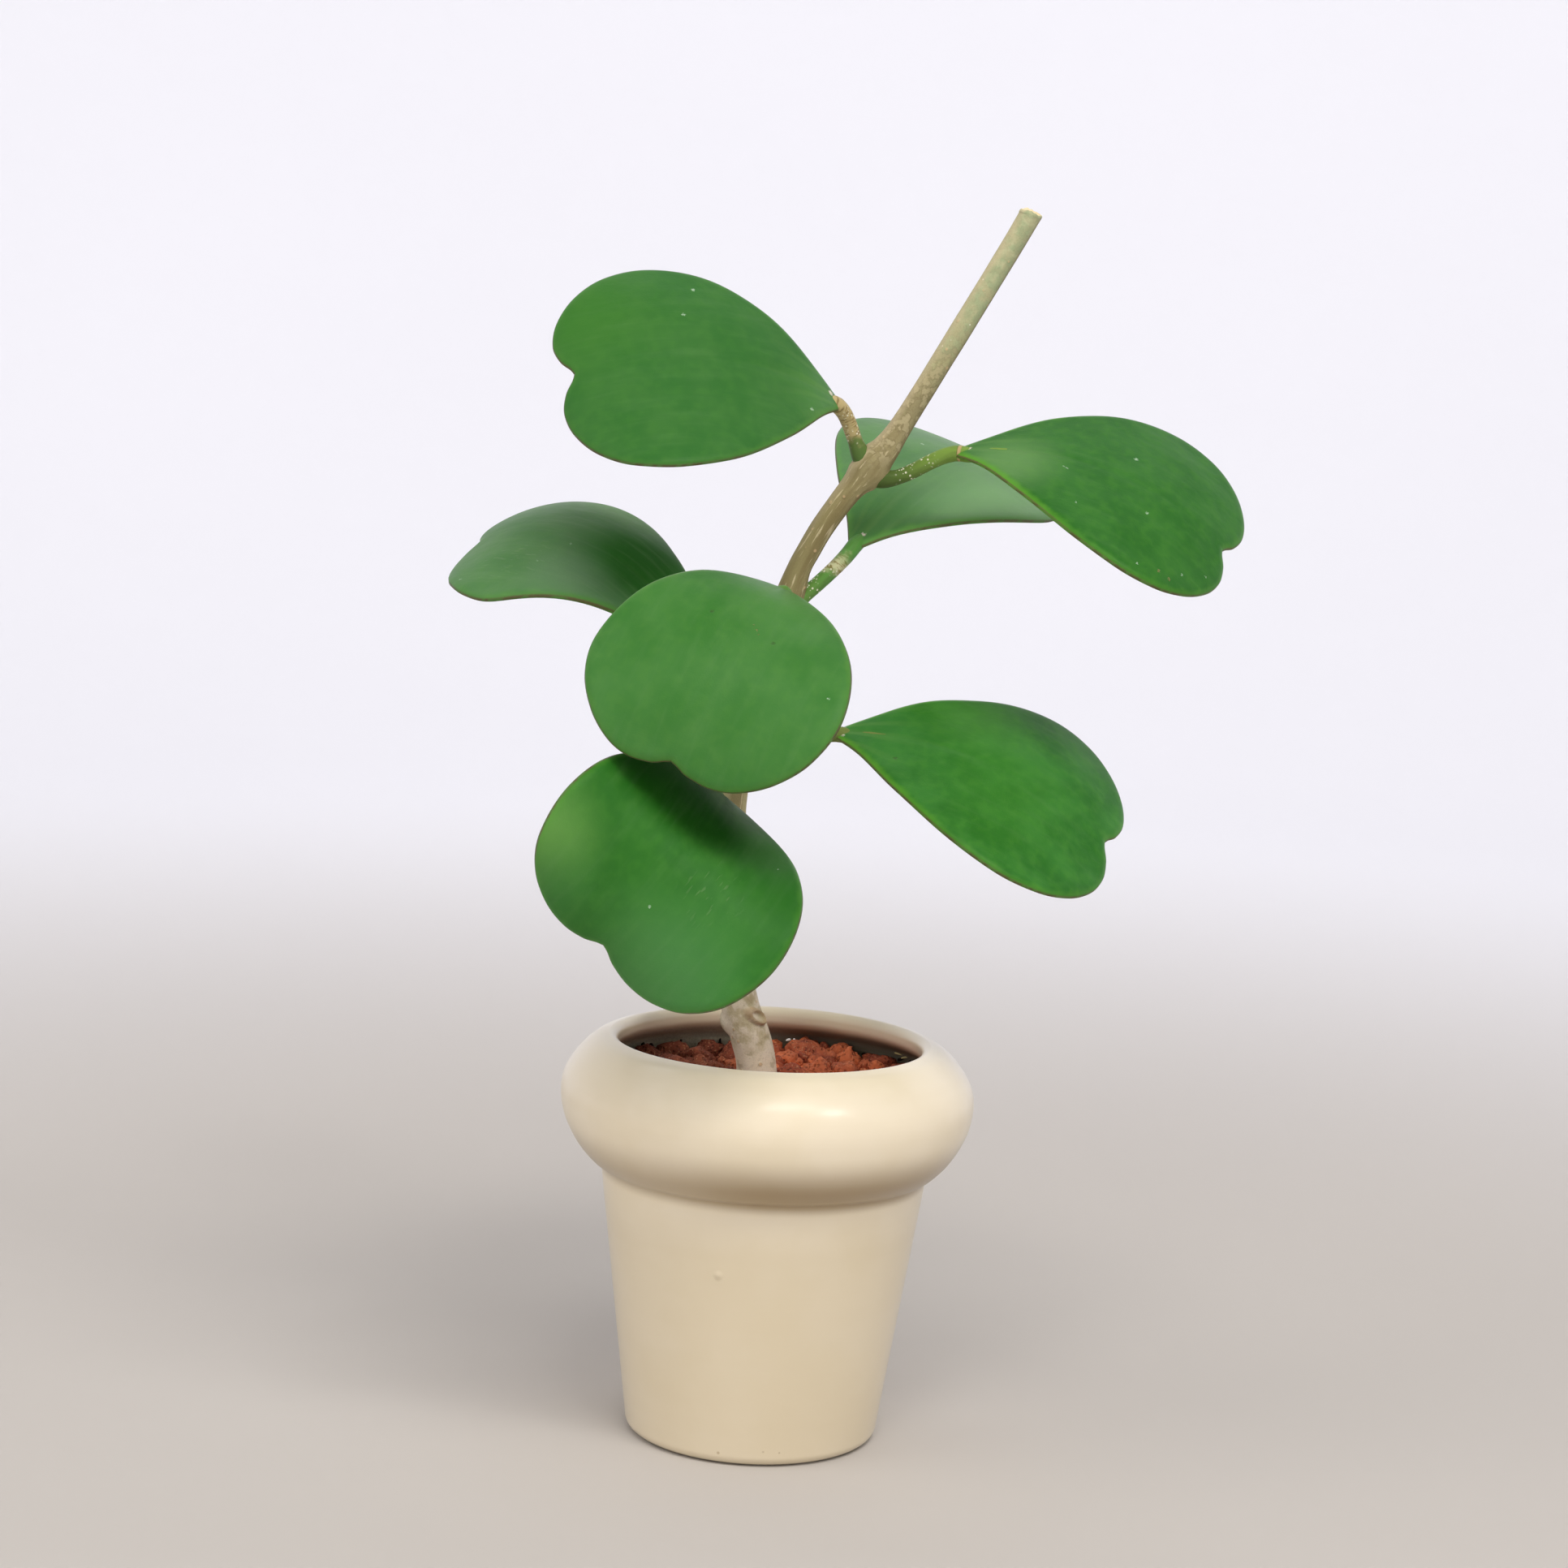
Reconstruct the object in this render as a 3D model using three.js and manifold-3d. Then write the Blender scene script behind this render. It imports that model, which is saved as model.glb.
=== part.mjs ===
// A small hoya with thick heart-shaped leaves, growing in a round ceramic pot with a swollen rim.
// Millimetres, +Z up. The origin is the centre of the pot's flat underside, and -Y is the front.
import * as THREE from "three";
import { mergeVertices } from "three/addons/utils/BufferGeometryUtils.js";
import Module from "manifold-3d";

// ---------------------------------------------------------------- driving dimensions
const GAP = 0.3;                    // clearance between two pieces that touch on the real plant

// Pot
const POT_SIDES = 52;               // flats around the pot
const BASE_RADIUS = 33.9;           // radius where the wall meets the table
const BASE_EDGE = 3.0;              // rounding of the bottom edge
const CREASE_RADIUS = 43.5;         // top of the straight wall, under the rim
const CREASE_HEIGHT = 72.0;
const RIM_RADIUS = 55.0;            // widest point of the swollen rim
const RIM_HEIGHT = 91.5;            // height of that widest point
const CREST_RADIUS = 42.7;          // top of the rim
const POT_HEIGHT = 106.8;
const LIP_RADIUS = 2.3;             // half-round lip around the mouth
const FLOOR_HEIGHT = 6.0;           // thickness of the pot's floor
const DRAIN_RADIUS = 3.0;
const DRAIN_CIRCLE = 12.0;          // the drain holes lie on a circle of this radius
const DRAIN_COUNT = 3;

// Filling
const SOIL_HEIGHT = 92.0;
const BED_HEIGHT = 93.6;            // top of the layer of gravel dust between the grains
const GRAVEL_HEIGHT = 95.5;         // mean height of the grains' tops
const GRAIN_SPACING = 7.2;
const GRAIN_RADIUS = [2.7, 3.7];    // smallest and largest lava grain
const GRAIN_REACH = 43.5;           // past this radius the lip hides the filling
const HEAP = { x: 12, y: 34, height: 2.8, spread: 17 };   // the gravel is heaped at the back

// Stem: [x, z, radius] up the middle line; all of it stands in the plane y = 0
const STEM = [
  [-2.2, 62, 4.4], [-2.8, 78, 5.0], [-3.2, 90, 5.3], [-3.8, 100, 5.1], [-5.6, 107.5, 5.3],
  [-8.5, 115, 5.1], [-10.9, 128, 4.5], [-12.7, 148, 4.1], [-13.3, 160, 4.5], [-13.5, 168, 3.9],
  [-12.6, 182, 4.2], [-10.4, 192, 3.6], [-6.6, 206, 3.35], [-2.4, 221, 3.8], [0.6, 231, 3.15],
  [3.3, 236.8, 3.1], [6.8, 243.4, 3.1], [12.6, 252.2, 3.3], [18.0, 258.9, 4.2], [21.8, 264.2, 3.7],
  [26.1, 271.3, 2.95], [35.6, 288.6, 2.85], [48.6, 312.6, 2.85], [54.6, 324.0, 2.9], [56.2, 327.3, 3.05],
];
const STEM_SIDES = 12;
const STEM_RINGS = 50;
const SCAR = { z: 111.5, heading: -40, radius: 2.5, stand: 1.0 };   // ring left by a dropped leaf
const KNOB = { z: 110.0, heading: 182, radius: 2.6, stand: 1.1 };   // its partner, healed to a knob

// Leaf stalks
const STALK_RADIUS = 2.1;
const STALK_SIDES = 10;
const STALK_RINGS = 9;

// Leaf blades: half of the heart's outline, from the stalk to the notch at the tip.
// Each row is [along, across, rib]: the edge point as a share of length and width, and the
// place on the midrib that the leaf's fan of cross lines joins it to.
const HEART = [
  [-0.01, 0.028, -0.01], [0.10, 0.115, 0.12], [0.28, 0.285, 0.30], [0.50, 0.44, 0.48],
  [0.70, 0.50, 0.62], [0.88, 0.455, 0.73], [1.00, 0.34, 0.82], [1.065, 0.20, 0.90],
  [1.05, 0.09, 0.955], [1.00, 0.0, 1.0],
];
const ROWS_PER_KEY = 2;
const CROSS = [0, 0.45, 0.8, 1];    // stations from the midrib out to the edge
const BLADE_HALF = 1.1;             // half of the blade's thickness
const EDGE_HALF = 0.5;              // half of its thickness at the edge
const CUP_START = 0.4;              // share of the length over which the cupping sets in

// Each leaf: base = where the stalk meets the blade; heading, climb and bank = how the blade
// leaves it, in degrees; length to the notch and width; arch and droop = how far the midrib
// bends down by the tip, evenly and more towards the tip; cupLeft, cupRight = how far each
// half turns up by its edge; twist = turn of the tip about the midrib; lean = share by which
// the left half is wider; waveLeft, waveRight = swing of each edge in millimetres.
// node = height of the stem where the stalk starts; out = its first heading and climb.
const LEAVES = {
  1: { base: [8, -8.5, 275], heading: 232, climb: 24, bank: 58, length: 75.5, width: 67,
       arch: 65, droop: 7, cupLeft: 2, cupRight: -17, twist: -3, lean: 0.01, waveLeft: -1.5, waveRight: 2,
       node: 258.5, out: [203, 50] },
  2: { base: [41, 0, 264], heading: 337, climb: 9, bank: -28, length: 75, width: 67,
       arch: 54, droop: 7, cupLeft: -12, cupRight: -7, twist: 6, lean: 0.03, waveLeft: 1, waveRight: -0.5,
       node: 257.5, out: [5, -14] },
  3: { base: [15.5, 9, 238.5], heading: 47, climb: 44, bank: -24, length: 75, width: 66.5,
       arch: 55, droop: 0, cupLeft: -8, cupRight: -13, twist: 3, lean: 0, waveLeft: 0, waveRight: 1,
       node: 219, out: [25, 44] },
  4: { base: [-23.5, -11, 207], heading: 184, climb: 62, bank: 33, length: 76.5, width: 67,
       arch: 67, droop: 27, cupLeft: 0, cupRight: -29, twist: -13, lean: 0, waveLeft: 3.5, waveRight: 0,
       node: 184, out: [225, 40] },
  5: { base: [-3, -19, 226.5], heading: 260, climb: 10, bank: 18, length: 73.5, width: 66.5,
       arch: 86, droop: 9, cupLeft: 6, cupRight: -16, twist: -3, lean: 0.04, waveLeft: 0, waveRight: 4.5,
       node: 221, out: [268, 20] },
  6: { base: [14, -5, 189.5], heading: 333, climb: 6, bank: -36, length: 77, width: 66.5,
       arch: 56, droop: 6, cupLeft: -27, cupRight: 2, twist: 0, lean: 0.01, waveLeft: 0, waveRight: 0,
       node: 182, out: [350, 12] },
  7: { base: [-17, -24, 173.5], heading: 281, climb: 12, bank: 40, length: 76, width: 68,
       arch: 82, droop: 52, cupLeft: 19, cupRight: 7, twist: 1, lean: 0.04, waveLeft: 1, waveRight: -2.5,
       node: 160, out: [262, 35] },
};

// ---------------------------------------------------------------- small helpers
const wasm = await Module();
wasm.setup();

const radians = THREE.MathUtils.degToRad;

// A unit vector with the given compass heading (0 = +X, 90 = +Y) and climb, in degrees.
function direction(heading, climb) {
  const flat = Math.cos(radians(climb));
  const x = Math.cos(radians(heading)) * flat;
  const y = Math.sin(radians(heading)) * flat;
  return new THREE.Vector3(x, y, Math.sin(radians(climb)));
}

// A fixed number between 0 and 1 for each whole-number seed.
function scatter(seed) {
  const x = Math.sin(seed * 12.9898) * 43758.5453;
  return x - Math.floor(x);
}

function smooth(u) {
  return u * u * (3 - 2 * u);
}

// Points that lie together become one vertex, and triangles that shrink to a line are dropped.
function weld(geometry) {
  const bare = geometry.clone();
  bare.deleteAttribute("normal");
  bare.deleteAttribute("uv");
  const merged = mergeVertices(bare, 1e-3);
  const old = merged.index.array;
  const index = [];
  for (let i = 0; i < old.length; i += 3) {
    const [a, b, c] = [old[i], old[i + 1], old[i + 2]];
    if (a !== b && b !== c && c !== a) index.push(a, b, c);
  }
  merged.setIndex(index);
  return merged;
}

function toSolid(geometry) {
  const closed = weld(geometry);
  const vertProperties = new Float32Array(closed.attributes.position.array);
  const triVerts = new Uint32Array(closed.index.array);
  return new wasm.Manifold(new wasm.Mesh({ numProp: 3, vertProperties, triVerts }));
}

function toGeometry(solid) {
  const { numProp, vertProperties, triVerts } = solid.getMesh();
  const geometry = new THREE.BufferGeometry();
  const positions = new Float32Array((vertProperties.length / numProp) * 3);
  for (let i = 0; i < positions.length / 3; i += 1) {
    positions.set(vertProperties.subarray(i * numProp, i * numProp + 3), i * 3);
  }
  geometry.setAttribute("position", new THREE.BufferAttribute(positions, 3));
  geometry.setIndex(Array.from(triVerts));
  geometry.computeVertexNormals();
  return geometry;
}

// A lathe turned about the vertical axis from [radius, height] pairs that start and end on it.
function turned(profile, sides = POT_SIDES) {
  const points = profile.map(([r, z]) => new THREE.Vector2(r, z));
  return new THREE.LatheGeometry(points, sides).rotateX(Math.PI / 2);
}

// A round rod of changing radius along a row of points, closed at both ends.
function rod(points, radii, sides) {
  const curve = new THREE.CatmullRomCurve3(points, false, "catmullrom", 0.5);
  const last = points.length - 1;
  const positions = [];
  const index = [];
  let side = new THREE.Vector3(0, 1, 0);
  points.forEach((point, ring) => {
    const along = curve.getTangent(ring / last);
    side = side.clone().addScaledVector(along, -side.dot(along)).normalize();
    const other = new THREE.Vector3().crossVectors(along, side);
    for (let k = 0; k < sides; k += 1) {
      const turn = (2 * Math.PI * k) / sides;
      const spot = point.clone();
      spot.addScaledVector(side, Math.cos(turn) * radii[ring]);
      spot.addScaledVector(other, Math.sin(turn) * radii[ring]);
      positions.push(spot.x, spot.y, spot.z);
    }
  });
  const start = positions.length / 3;
  positions.push(...points[0].toArray(), ...points[last].toArray());
  for (let k = 0; k < sides; k += 1) {
    const next = (k + 1) % sides;
    for (let ring = 0; ring < last; ring += 1) {
      const [a, b] = [ring * sides + k, ring * sides + next];
      index.push(a, b, b + sides, a, b + sides, a + sides);
    }
    index.push(start, next, k, start + 1, last * sides + k, last * sides + next);
  }
  const geometry = new THREE.BufferGeometry();
  geometry.setAttribute("position", new THREE.Float32BufferAttribute(positions, 3));
  geometry.setIndex(index);
  return geometry;
}

// ---------------------------------------------------------------- pot
// A smooth line through a few [radius, height] pairs.
function flowing(pairs, steps) {
  const spline = new THREE.SplineCurve(pairs.map(([r, z]) => new THREE.Vector2(r, z)));
  return spline.getPoints(steps).map((p) => [p.x, p.y]);
}

function outerWall() {
  const profile = [[0, 0]];
  for (let step = 0; step <= 3; step += 1) {
    const turn = radians(-90 + 30 * step);
    profile.push([BASE_RADIUS - BASE_EDGE * (1 - Math.cos(turn)), BASE_EDGE * (1 + Math.sin(turn))]);
  }
  const wide = RIM_RADIUS;
  profile.push([CREASE_RADIUS - 0.2, CREASE_HEIGHT - 1.5]);
  profile.push(...flowing([
    [CREASE_RADIUS, CREASE_HEIGHT], [wide - 8.4, RIM_HEIGHT - 17.6], [wide - 4.4, RIM_HEIGHT - 13.0],
    [wide - 1.1, RIM_HEIGHT - 6.5], [wide, RIM_HEIGHT], [wide - 1.0, RIM_HEIGHT + 5.1],
    [wide - 4.1, RIM_HEIGHT + 9.9], [wide - 8.4, POT_HEIGHT - 1.4], [CREST_RADIUS, POT_HEIGHT],
  ], 13));
  return profile;
}

// The inside follows the outside at an even wall thickness, so it swells under the lip.
function innerWall() {
  const mouth = CREST_RADIUS - LIP_RADIUS;
  return [
    ...flowing([
      [mouth, POT_HEIGHT - LIP_RADIUS], [mouth + 1.2, POT_HEIGHT - 4.4], [45.4, 99.9],
      [48.9, 95.8], [50.2, 91.0], [49.0, 85.4], [45.6, 80.0], [41.4, 75.8], [39.0, 70.0],
    ], 9),
    [29.6, 10.0], [28.0, 7.2], [24.5, FLOOR_HEIGHT],
  ];
}

function pot() {
  const lip = [];
  for (let step = 1; step <= 4; step += 1) {
    const turn = radians(90 + 22.5 * step);
    lip.push([CREST_RADIUS + LIP_RADIUS * Math.cos(turn), POT_HEIGHT - LIP_RADIUS * (1 - Math.sin(turn))]);
  }
  lip.pop();
  let solid = toSolid(turned([...outerWall(), ...lip, ...innerWall(), [0, FLOOR_HEIGHT]]));
  for (let k = 0; k < DRAIN_COUNT; k += 1) {
    const turn = (2 * Math.PI * k) / DRAIN_COUNT + Math.PI / 2;
    const drain = new THREE.CylinderGeometry(DRAIN_RADIUS, DRAIN_RADIUS, 4 * FLOOR_HEIGHT, 12);
    drain.rotateX(Math.PI / 2);
    drain.translate(DRAIN_CIRCLE * Math.cos(turn), DRAIN_CIRCLE * Math.sin(turn), 0);
    solid = solid.subtract(toSolid(drain));
  }
  return toGeometry(solid);
}

// What fills the pot up to a height: the room inside it, less the clearance all round.
function filling(bottom, top) {
  const inside = innerWall().reverse().map(([r, z]) => [r - GAP, z === FLOOR_HEIGHT ? z + GAP : z]);
  const room = toSolid(turned([[0, FLOOR_HEIGHT + GAP], ...inside, [0, POT_HEIGHT - LIP_RADIUS]]));
  const slab = new THREE.CylinderGeometry(60, 60, top - bottom, 4).rotateX(Math.PI / 2);
  slab.translate(0, 0, (top + bottom) / 2);
  return room.intersect(toSolid(slab));
}

// ---------------------------------------------------------------- stem
const stemLine = new THREE.CatmullRomCurve3(
  STEM.map(([x, z, r]) => new THREE.Vector3(x, r, z)), false, "catmullrom", 0.5);

// The stem's middle at a height; the spline carries the radius in its y.
function stemAt(height) {
  let [low, high] = [0, 1];
  for (let step = 0; step < 40; step += 1) {
    const mid = (low + high) / 2;
    if (stemLine.getPoint(mid).z < height) low = mid;
    else high = mid;
  }
  const spot = stemLine.getPoint(low);
  return { centre: new THREE.Vector3(spot.x, 0, spot.z), radius: spot.y };
}

function stemRod(extra) {
  const spots = [];
  for (let ring = 0; ring <= STEM_RINGS; ring += 1) {
    spots.push(stemLine.getPoint(ring / STEM_RINGS));
  }
  const points = spots.map((p) => new THREE.Vector3(p.x, 0, p.z));
  return toSolid(rod(points, spots.map((p) => p.y + extra), STEM_SIDES));
}

// A short round stub standing out of the stem's side.
function stub({ z, heading, radius, stand }) {
  const { centre, radius: stem } = stemAt(z);
  const out = direction(heading, 0);
  const reach = [0, stem + stand * 0.5, stem + stand];
  const points = reach.map((d) => centre.clone().addScaledVector(out, d));
  return toSolid(rod(points, [radius, radius, radius * 0.7], 8));
}

function stem() {
  return stemRod(0).add(stub(SCAR)).add(stub(KNOB));
}

// ---------------------------------------------------------------- gravel
// One lava grain: a pebble of twenty facets, each corner pushed in or out a little.
function grain(x, y, seed) {
  const [small, large] = GRAIN_RADIUS;
  const radius = small + (large - small) * scatter(seed);
  const pebble = weld(new THREE.IcosahedronGeometry(radius, 0));
  const corners = pebble.attributes.position;
  for (let k = 0; k < corners.count; k += 1) {
    const push = 0.85 + 0.3 * scatter(seed * 17 + k);
    corners.setXYZ(k, corners.getX(k) * push, corners.getY(k) * push, corners.getZ(k) * push * 0.85);
  }
  pebble.rotateZ(2 * Math.PI * scatter(seed + 0.5));
  const heap = HEAP.height * Math.exp(-((x - HEAP.x) ** 2 + (y - HEAP.y) ** 2) / HEAP.spread ** 2);
  const top = GRAVEL_HEIGHT + heap + 1.4 * (scatter(seed * 3) - 0.5);
  pebble.translate(x, y, top - radius * 0.8);
  return pebble;
}

function gravel(stemHole) {
  const rowStep = GRAIN_SPACING * Math.sin(Math.PI / 3);
  let solid = filling(SOIL_HEIGHT + GAP, BED_HEIGHT);
  let seed = 1;
  const grains = [];
  for (let row = -8; row <= 8; row += 1) {
    for (let column = -8; column <= 8; column += 1) {
      seed += 1;
      const x = (column + (row & 1) / 2) * GRAIN_SPACING + 1.6 * (scatter(seed * 5) - 0.5);
      const y = row * rowStep + 1.6 * (scatter(seed * 7) - 0.5);
      if (Math.hypot(x, y) < GRAIN_REACH) grains.push(toSolid(grain(x, y, seed)));
    }
  }
  solid = wasm.Manifold.union([solid, ...grains]);
  solid = solid.intersect(filling(SOIL_HEIGHT + GAP, POT_HEIGHT - LIP_RADIUS - 1));
  return solid.subtract(stemHole);
}

// ---------------------------------------------------------------- leaves
// The blade's axes at its base: along the midrib, off its upper face, and to its left.
function leafAxes(leaf) {
  const along = direction(leaf.heading, leaf.climb);
  const level = direction(leaf.heading, leaf.climb + 90);
  const side = new THREE.Vector3().crossVectors(level, along);
  const bank = radians(leaf.bank);
  const up = level.multiplyScalar(Math.cos(bank)).addScaledVector(side, Math.sin(bank));
  const left = new THREE.Vector3().crossVectors(up, along);
  return { along, up, left };
}

// The midrib seen from the side, as [forward, down, slope] at even steps of its length.
const RIB_STEPS = 60;
const RIB_REACH = 1.2;
function midrib(leaf) {
  const step = (RIB_REACH / RIB_STEPS) * leaf.length;
  const slopeAt = (s) => radians(leaf.arch * s + leaf.droop * s * s);
  const rib = [[0, 0, 0]];
  for (let k = 1; k <= RIB_STEPS; k += 1) {
    const [forward, down] = rib[k - 1];
    const middle = slopeAt(((k - 0.5) * RIB_REACH) / RIB_STEPS);
    const slope = slopeAt((k * RIB_REACH) / RIB_STEPS);
    rib.push([forward + step * Math.cos(middle), down + step * Math.sin(middle), slope]);
  }
  return rib;
}

// The point of the blade's middle surface that lies `a` along and `b` across when it is flat.
function bladePoint(leaf, axes, rib, a, b) {
  const share = a / leaf.length;
  const place = (THREE.MathUtils.clamp(share, 0, RIB_REACH) / RIB_REACH) * RIB_STEPS;
  const k = Math.min(Math.floor(place), RIB_STEPS - 1);
  const [forward, down, slope] = rib[k].map((v, i) => v + (rib[k + 1][i] - v) * (place - k));
  const before = Math.min(a, 0);
  const half = leaf.width / 2;
  const cup = radians(b > 0 ? leaf.cupLeft : leaf.cupRight);
  const onset = smooth(THREE.MathUtils.clamp(share / CUP_START, 0, 1));
  const bend = (cup * onset) / half || 1e-6;
  const wave = b > 0 ? leaf.waveLeft : leaf.waveRight;
  const swing = wave * (b / half) ** 2 * Math.sin(2 * Math.PI * Math.max(share, 0));
  const flatSide = Math.sin(bend * b) / bend;
  const flatUp = (1 - Math.cos(bend * b)) / bend + swing;
  const twist = radians(leaf.twist) * Math.max(share, 0);
  const side = flatSide * Math.cos(twist) - flatUp * Math.sin(twist);
  const up = flatSide * Math.sin(twist) + flatUp * Math.cos(twist);
  const point = new THREE.Vector3(...leaf.base);
  point.addScaledVector(axes.along, forward + before + up * Math.sin(slope));
  point.addScaledVector(axes.up, -down + up * Math.cos(slope));
  point.addScaledVector(axes.left, side);
  return point;
}

// The blade: its middle surface thickened to both sides, full along the midrib and thin at
// the edge. Both faces are cut into triangles alike.
function blade(leaf) {
  const axes = leafAxes(leaf);
  const rib = midrib(leaf);
  const keys = HEART.map((row) => new THREE.Vector3(...row));
  const edge = new THREE.CatmullRomCurve3(keys, false, "catmullrom", 0.5);
  const rows = (HEART.length - 1) * ROWS_PER_KEY;
  const columns = [...CROSS.slice(1).reverse().map((s) => -s), ...CROSS];
  const positions = [];
  for (const face of [1, -1]) {
    for (let row = 0; row <= rows; row += 1) {
      const { x: along, y: across, z: spine } = edge.getPoint(row / rows);
      for (const s of columns) {
        const reach = Math.abs(s);
        const a = leaf.length * (spine + (along - spine) * reach);
        const b = leaf.width * across * s * (1 + Math.sign(s) * leaf.lean);
        const mid = bladePoint(leaf, axes, rib, a, b);
        const ahead = bladePoint(leaf, axes, rib, a + 0.5, b).sub(mid);
        const beside = bladePoint(leaf, axes, rib, a, b + 0.5).sub(mid);
        const normal = ahead.cross(beside).normalize();
        const thick = BLADE_HALF + (EDGE_HALF - BLADE_HALF) * reach ** 3;
        mid.addScaledVector(normal, thick * face);
        positions.push(mid.x, mid.y, mid.z);
      }
    }
  }
  const wide = columns.length;
  const under = (rows + 1) * wide;
  const index = [];
  const quad = (p, q, r, s) => index.push(p, q, r, p, r, s);
  for (let row = 0; row < rows; row += 1) {
    for (let column = 0; column < wide - 1; column += 1) {
      const p = row * wide + column;
      quad(p, p + wide, p + wide + 1, p + 1);
      quad(under + p, under + p + 1, under + p + wide + 1, under + p + wide);
    }
    const [right, left] = [row * wide, row * wide + wide - 1];
    quad(right, under + right, under + right + wide, right + wide);
    quad(left, left + wide, under + left + wide, under + left);
  }
  for (let column = 0; column < wide - 1; column += 1) {
    quad(column, column + 1, under + column + 1, under + column);
  }
  const geometry = new THREE.BufferGeometry();
  geometry.setAttribute("position", new THREE.Float32BufferAttribute(positions, 3));
  geometry.setIndex(index);
  return geometry;
}

// The stalk: from the stem's middle, out of the node, to just short of the blade's base.
function stalk(leaf) {
  const { centre } = stemAt(leaf.node);
  const end = new THREE.Vector3(...leaf.base);
  const into = direction(leaf.heading, leaf.climb);
  end.addScaledVector(into, -(GAP + 0.01 * leaf.length));
  const reach = end.distanceTo(centre);
  const curve = new THREE.CubicBezierCurve3(
    centre,
    centre.clone().addScaledVector(direction(...leaf.out), reach * 0.4),
    end.clone().addScaledVector(into, -reach * 0.35),
    end,
  );
  const points = curve.getSpacedPoints(STALK_RINGS);
  return toSolid(rod(points, points.map(() => STALK_RADIUS), STALK_SIDES));
}

// ---------------------------------------------------------------- assembly
const materials = {
  glaze: new THREE.MeshStandardMaterial({ color: "#eedfc6", roughness: 0.35, metalness: 0 }),
  pottingMix: new THREE.MeshStandardMaterial({ color: "#3b2a1e", roughness: 0.95, metalness: 0 }),
  lavaRock: new THREE.MeshStandardMaterial({ color: "#904d2f", roughness: 0.95, metalness: 0 }),
  stemBark: new THREE.MeshStandardMaterial({ color: "#b3a38c", roughness: 0.7, metalness: 0 }),
  stalkSkin: new THREE.MeshStandardMaterial({ color: "#6f8a3f", roughness: 0.55, metalness: 0 }),
  leafSkin: new THREE.MeshStandardMaterial({ color: "#41803a", roughness: 0.4, metalness: 0 }),
};

const plant = new THREE.Group();

function place(name, geometry, material) {
  const mesh = new THREE.Mesh(geometry, material);
  mesh.name = name;
  plant.add(mesh);
}

const stemHole = stemRod(GAP);
place("pot", pot(), materials.glaze);
place("soil", toGeometry(filling(FLOOR_HEIGHT, SOIL_HEIGHT).subtract(stemHole)), materials.pottingMix);
place("lava_gravel", toGeometry(gravel(stemHole)), materials.lavaRock);
place("stem", toGeometry(stem()), materials.stemBark);
for (const [number, leaf] of Object.entries(LEAVES)) {
  place(`leaf_stalk_${number}`, toGeometry(stalk(leaf).subtract(stemHole)), materials.stalkSkin);
  place(`leaf_${number}`, weld(blade(leaf)), materials.leafSkin);
}

export default plant;
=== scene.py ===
# %% [markdown]
# # A small hoya in a cream pot
#
# The plant is a rooted cutting of a hoya with thick, heart-shaped leaves. One bare stem leans
# out of a round ceramic pot, seven leaves stand on it in pairs, and red lava gravel covers the
# soil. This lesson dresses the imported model, which gives every piece its place and size, in
# fine meshes and procedural materials. All lengths below are real ones.

# %% Load the frame
import math
import bmesh
import bpy
import numpy as np
from mathutils import Matrix, Vector


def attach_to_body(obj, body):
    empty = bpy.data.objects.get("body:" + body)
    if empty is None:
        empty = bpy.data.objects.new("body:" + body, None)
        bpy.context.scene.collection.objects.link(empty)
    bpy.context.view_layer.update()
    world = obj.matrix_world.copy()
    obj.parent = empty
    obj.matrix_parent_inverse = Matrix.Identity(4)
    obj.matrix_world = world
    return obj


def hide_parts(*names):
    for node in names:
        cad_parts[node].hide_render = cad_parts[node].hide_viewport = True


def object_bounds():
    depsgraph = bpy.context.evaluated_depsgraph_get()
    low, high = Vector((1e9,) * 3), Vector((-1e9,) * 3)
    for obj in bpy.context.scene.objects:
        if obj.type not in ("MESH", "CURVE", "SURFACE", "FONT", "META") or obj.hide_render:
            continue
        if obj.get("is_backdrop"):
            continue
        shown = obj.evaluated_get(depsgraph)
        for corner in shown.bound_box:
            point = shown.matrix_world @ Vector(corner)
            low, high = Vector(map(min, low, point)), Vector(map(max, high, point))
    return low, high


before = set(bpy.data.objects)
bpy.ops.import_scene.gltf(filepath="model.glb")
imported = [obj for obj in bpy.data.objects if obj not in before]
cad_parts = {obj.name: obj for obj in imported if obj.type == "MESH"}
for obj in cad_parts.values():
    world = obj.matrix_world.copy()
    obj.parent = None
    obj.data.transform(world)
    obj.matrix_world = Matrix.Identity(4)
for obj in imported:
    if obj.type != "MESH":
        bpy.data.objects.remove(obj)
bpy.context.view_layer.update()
MM = 0.001                          # the measures below are in millimetres, Blender's in metres
print("CAD nodes:", sorted(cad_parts))

# %% [markdown]
# ## Helpers for node trees
#
# A material or a Geometry Nodes tree is a set of nodes and links. `add` makes one node, sets
# its properties and fills its inputs. Values fill the inputs in the order in which Blender
# shows them. A keyword with a capital fills the input of that name, with _ for a space, and
# one without sets a property. An input takes a number, another node, whose first output is
# then linked to it, or a new node, written as a bracket of its kind and its values.
#
# Colours are written as sRGB hex values, as a paint chart gives them. Blender mixes light in
# linear values, so `colour` converts them.

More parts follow.
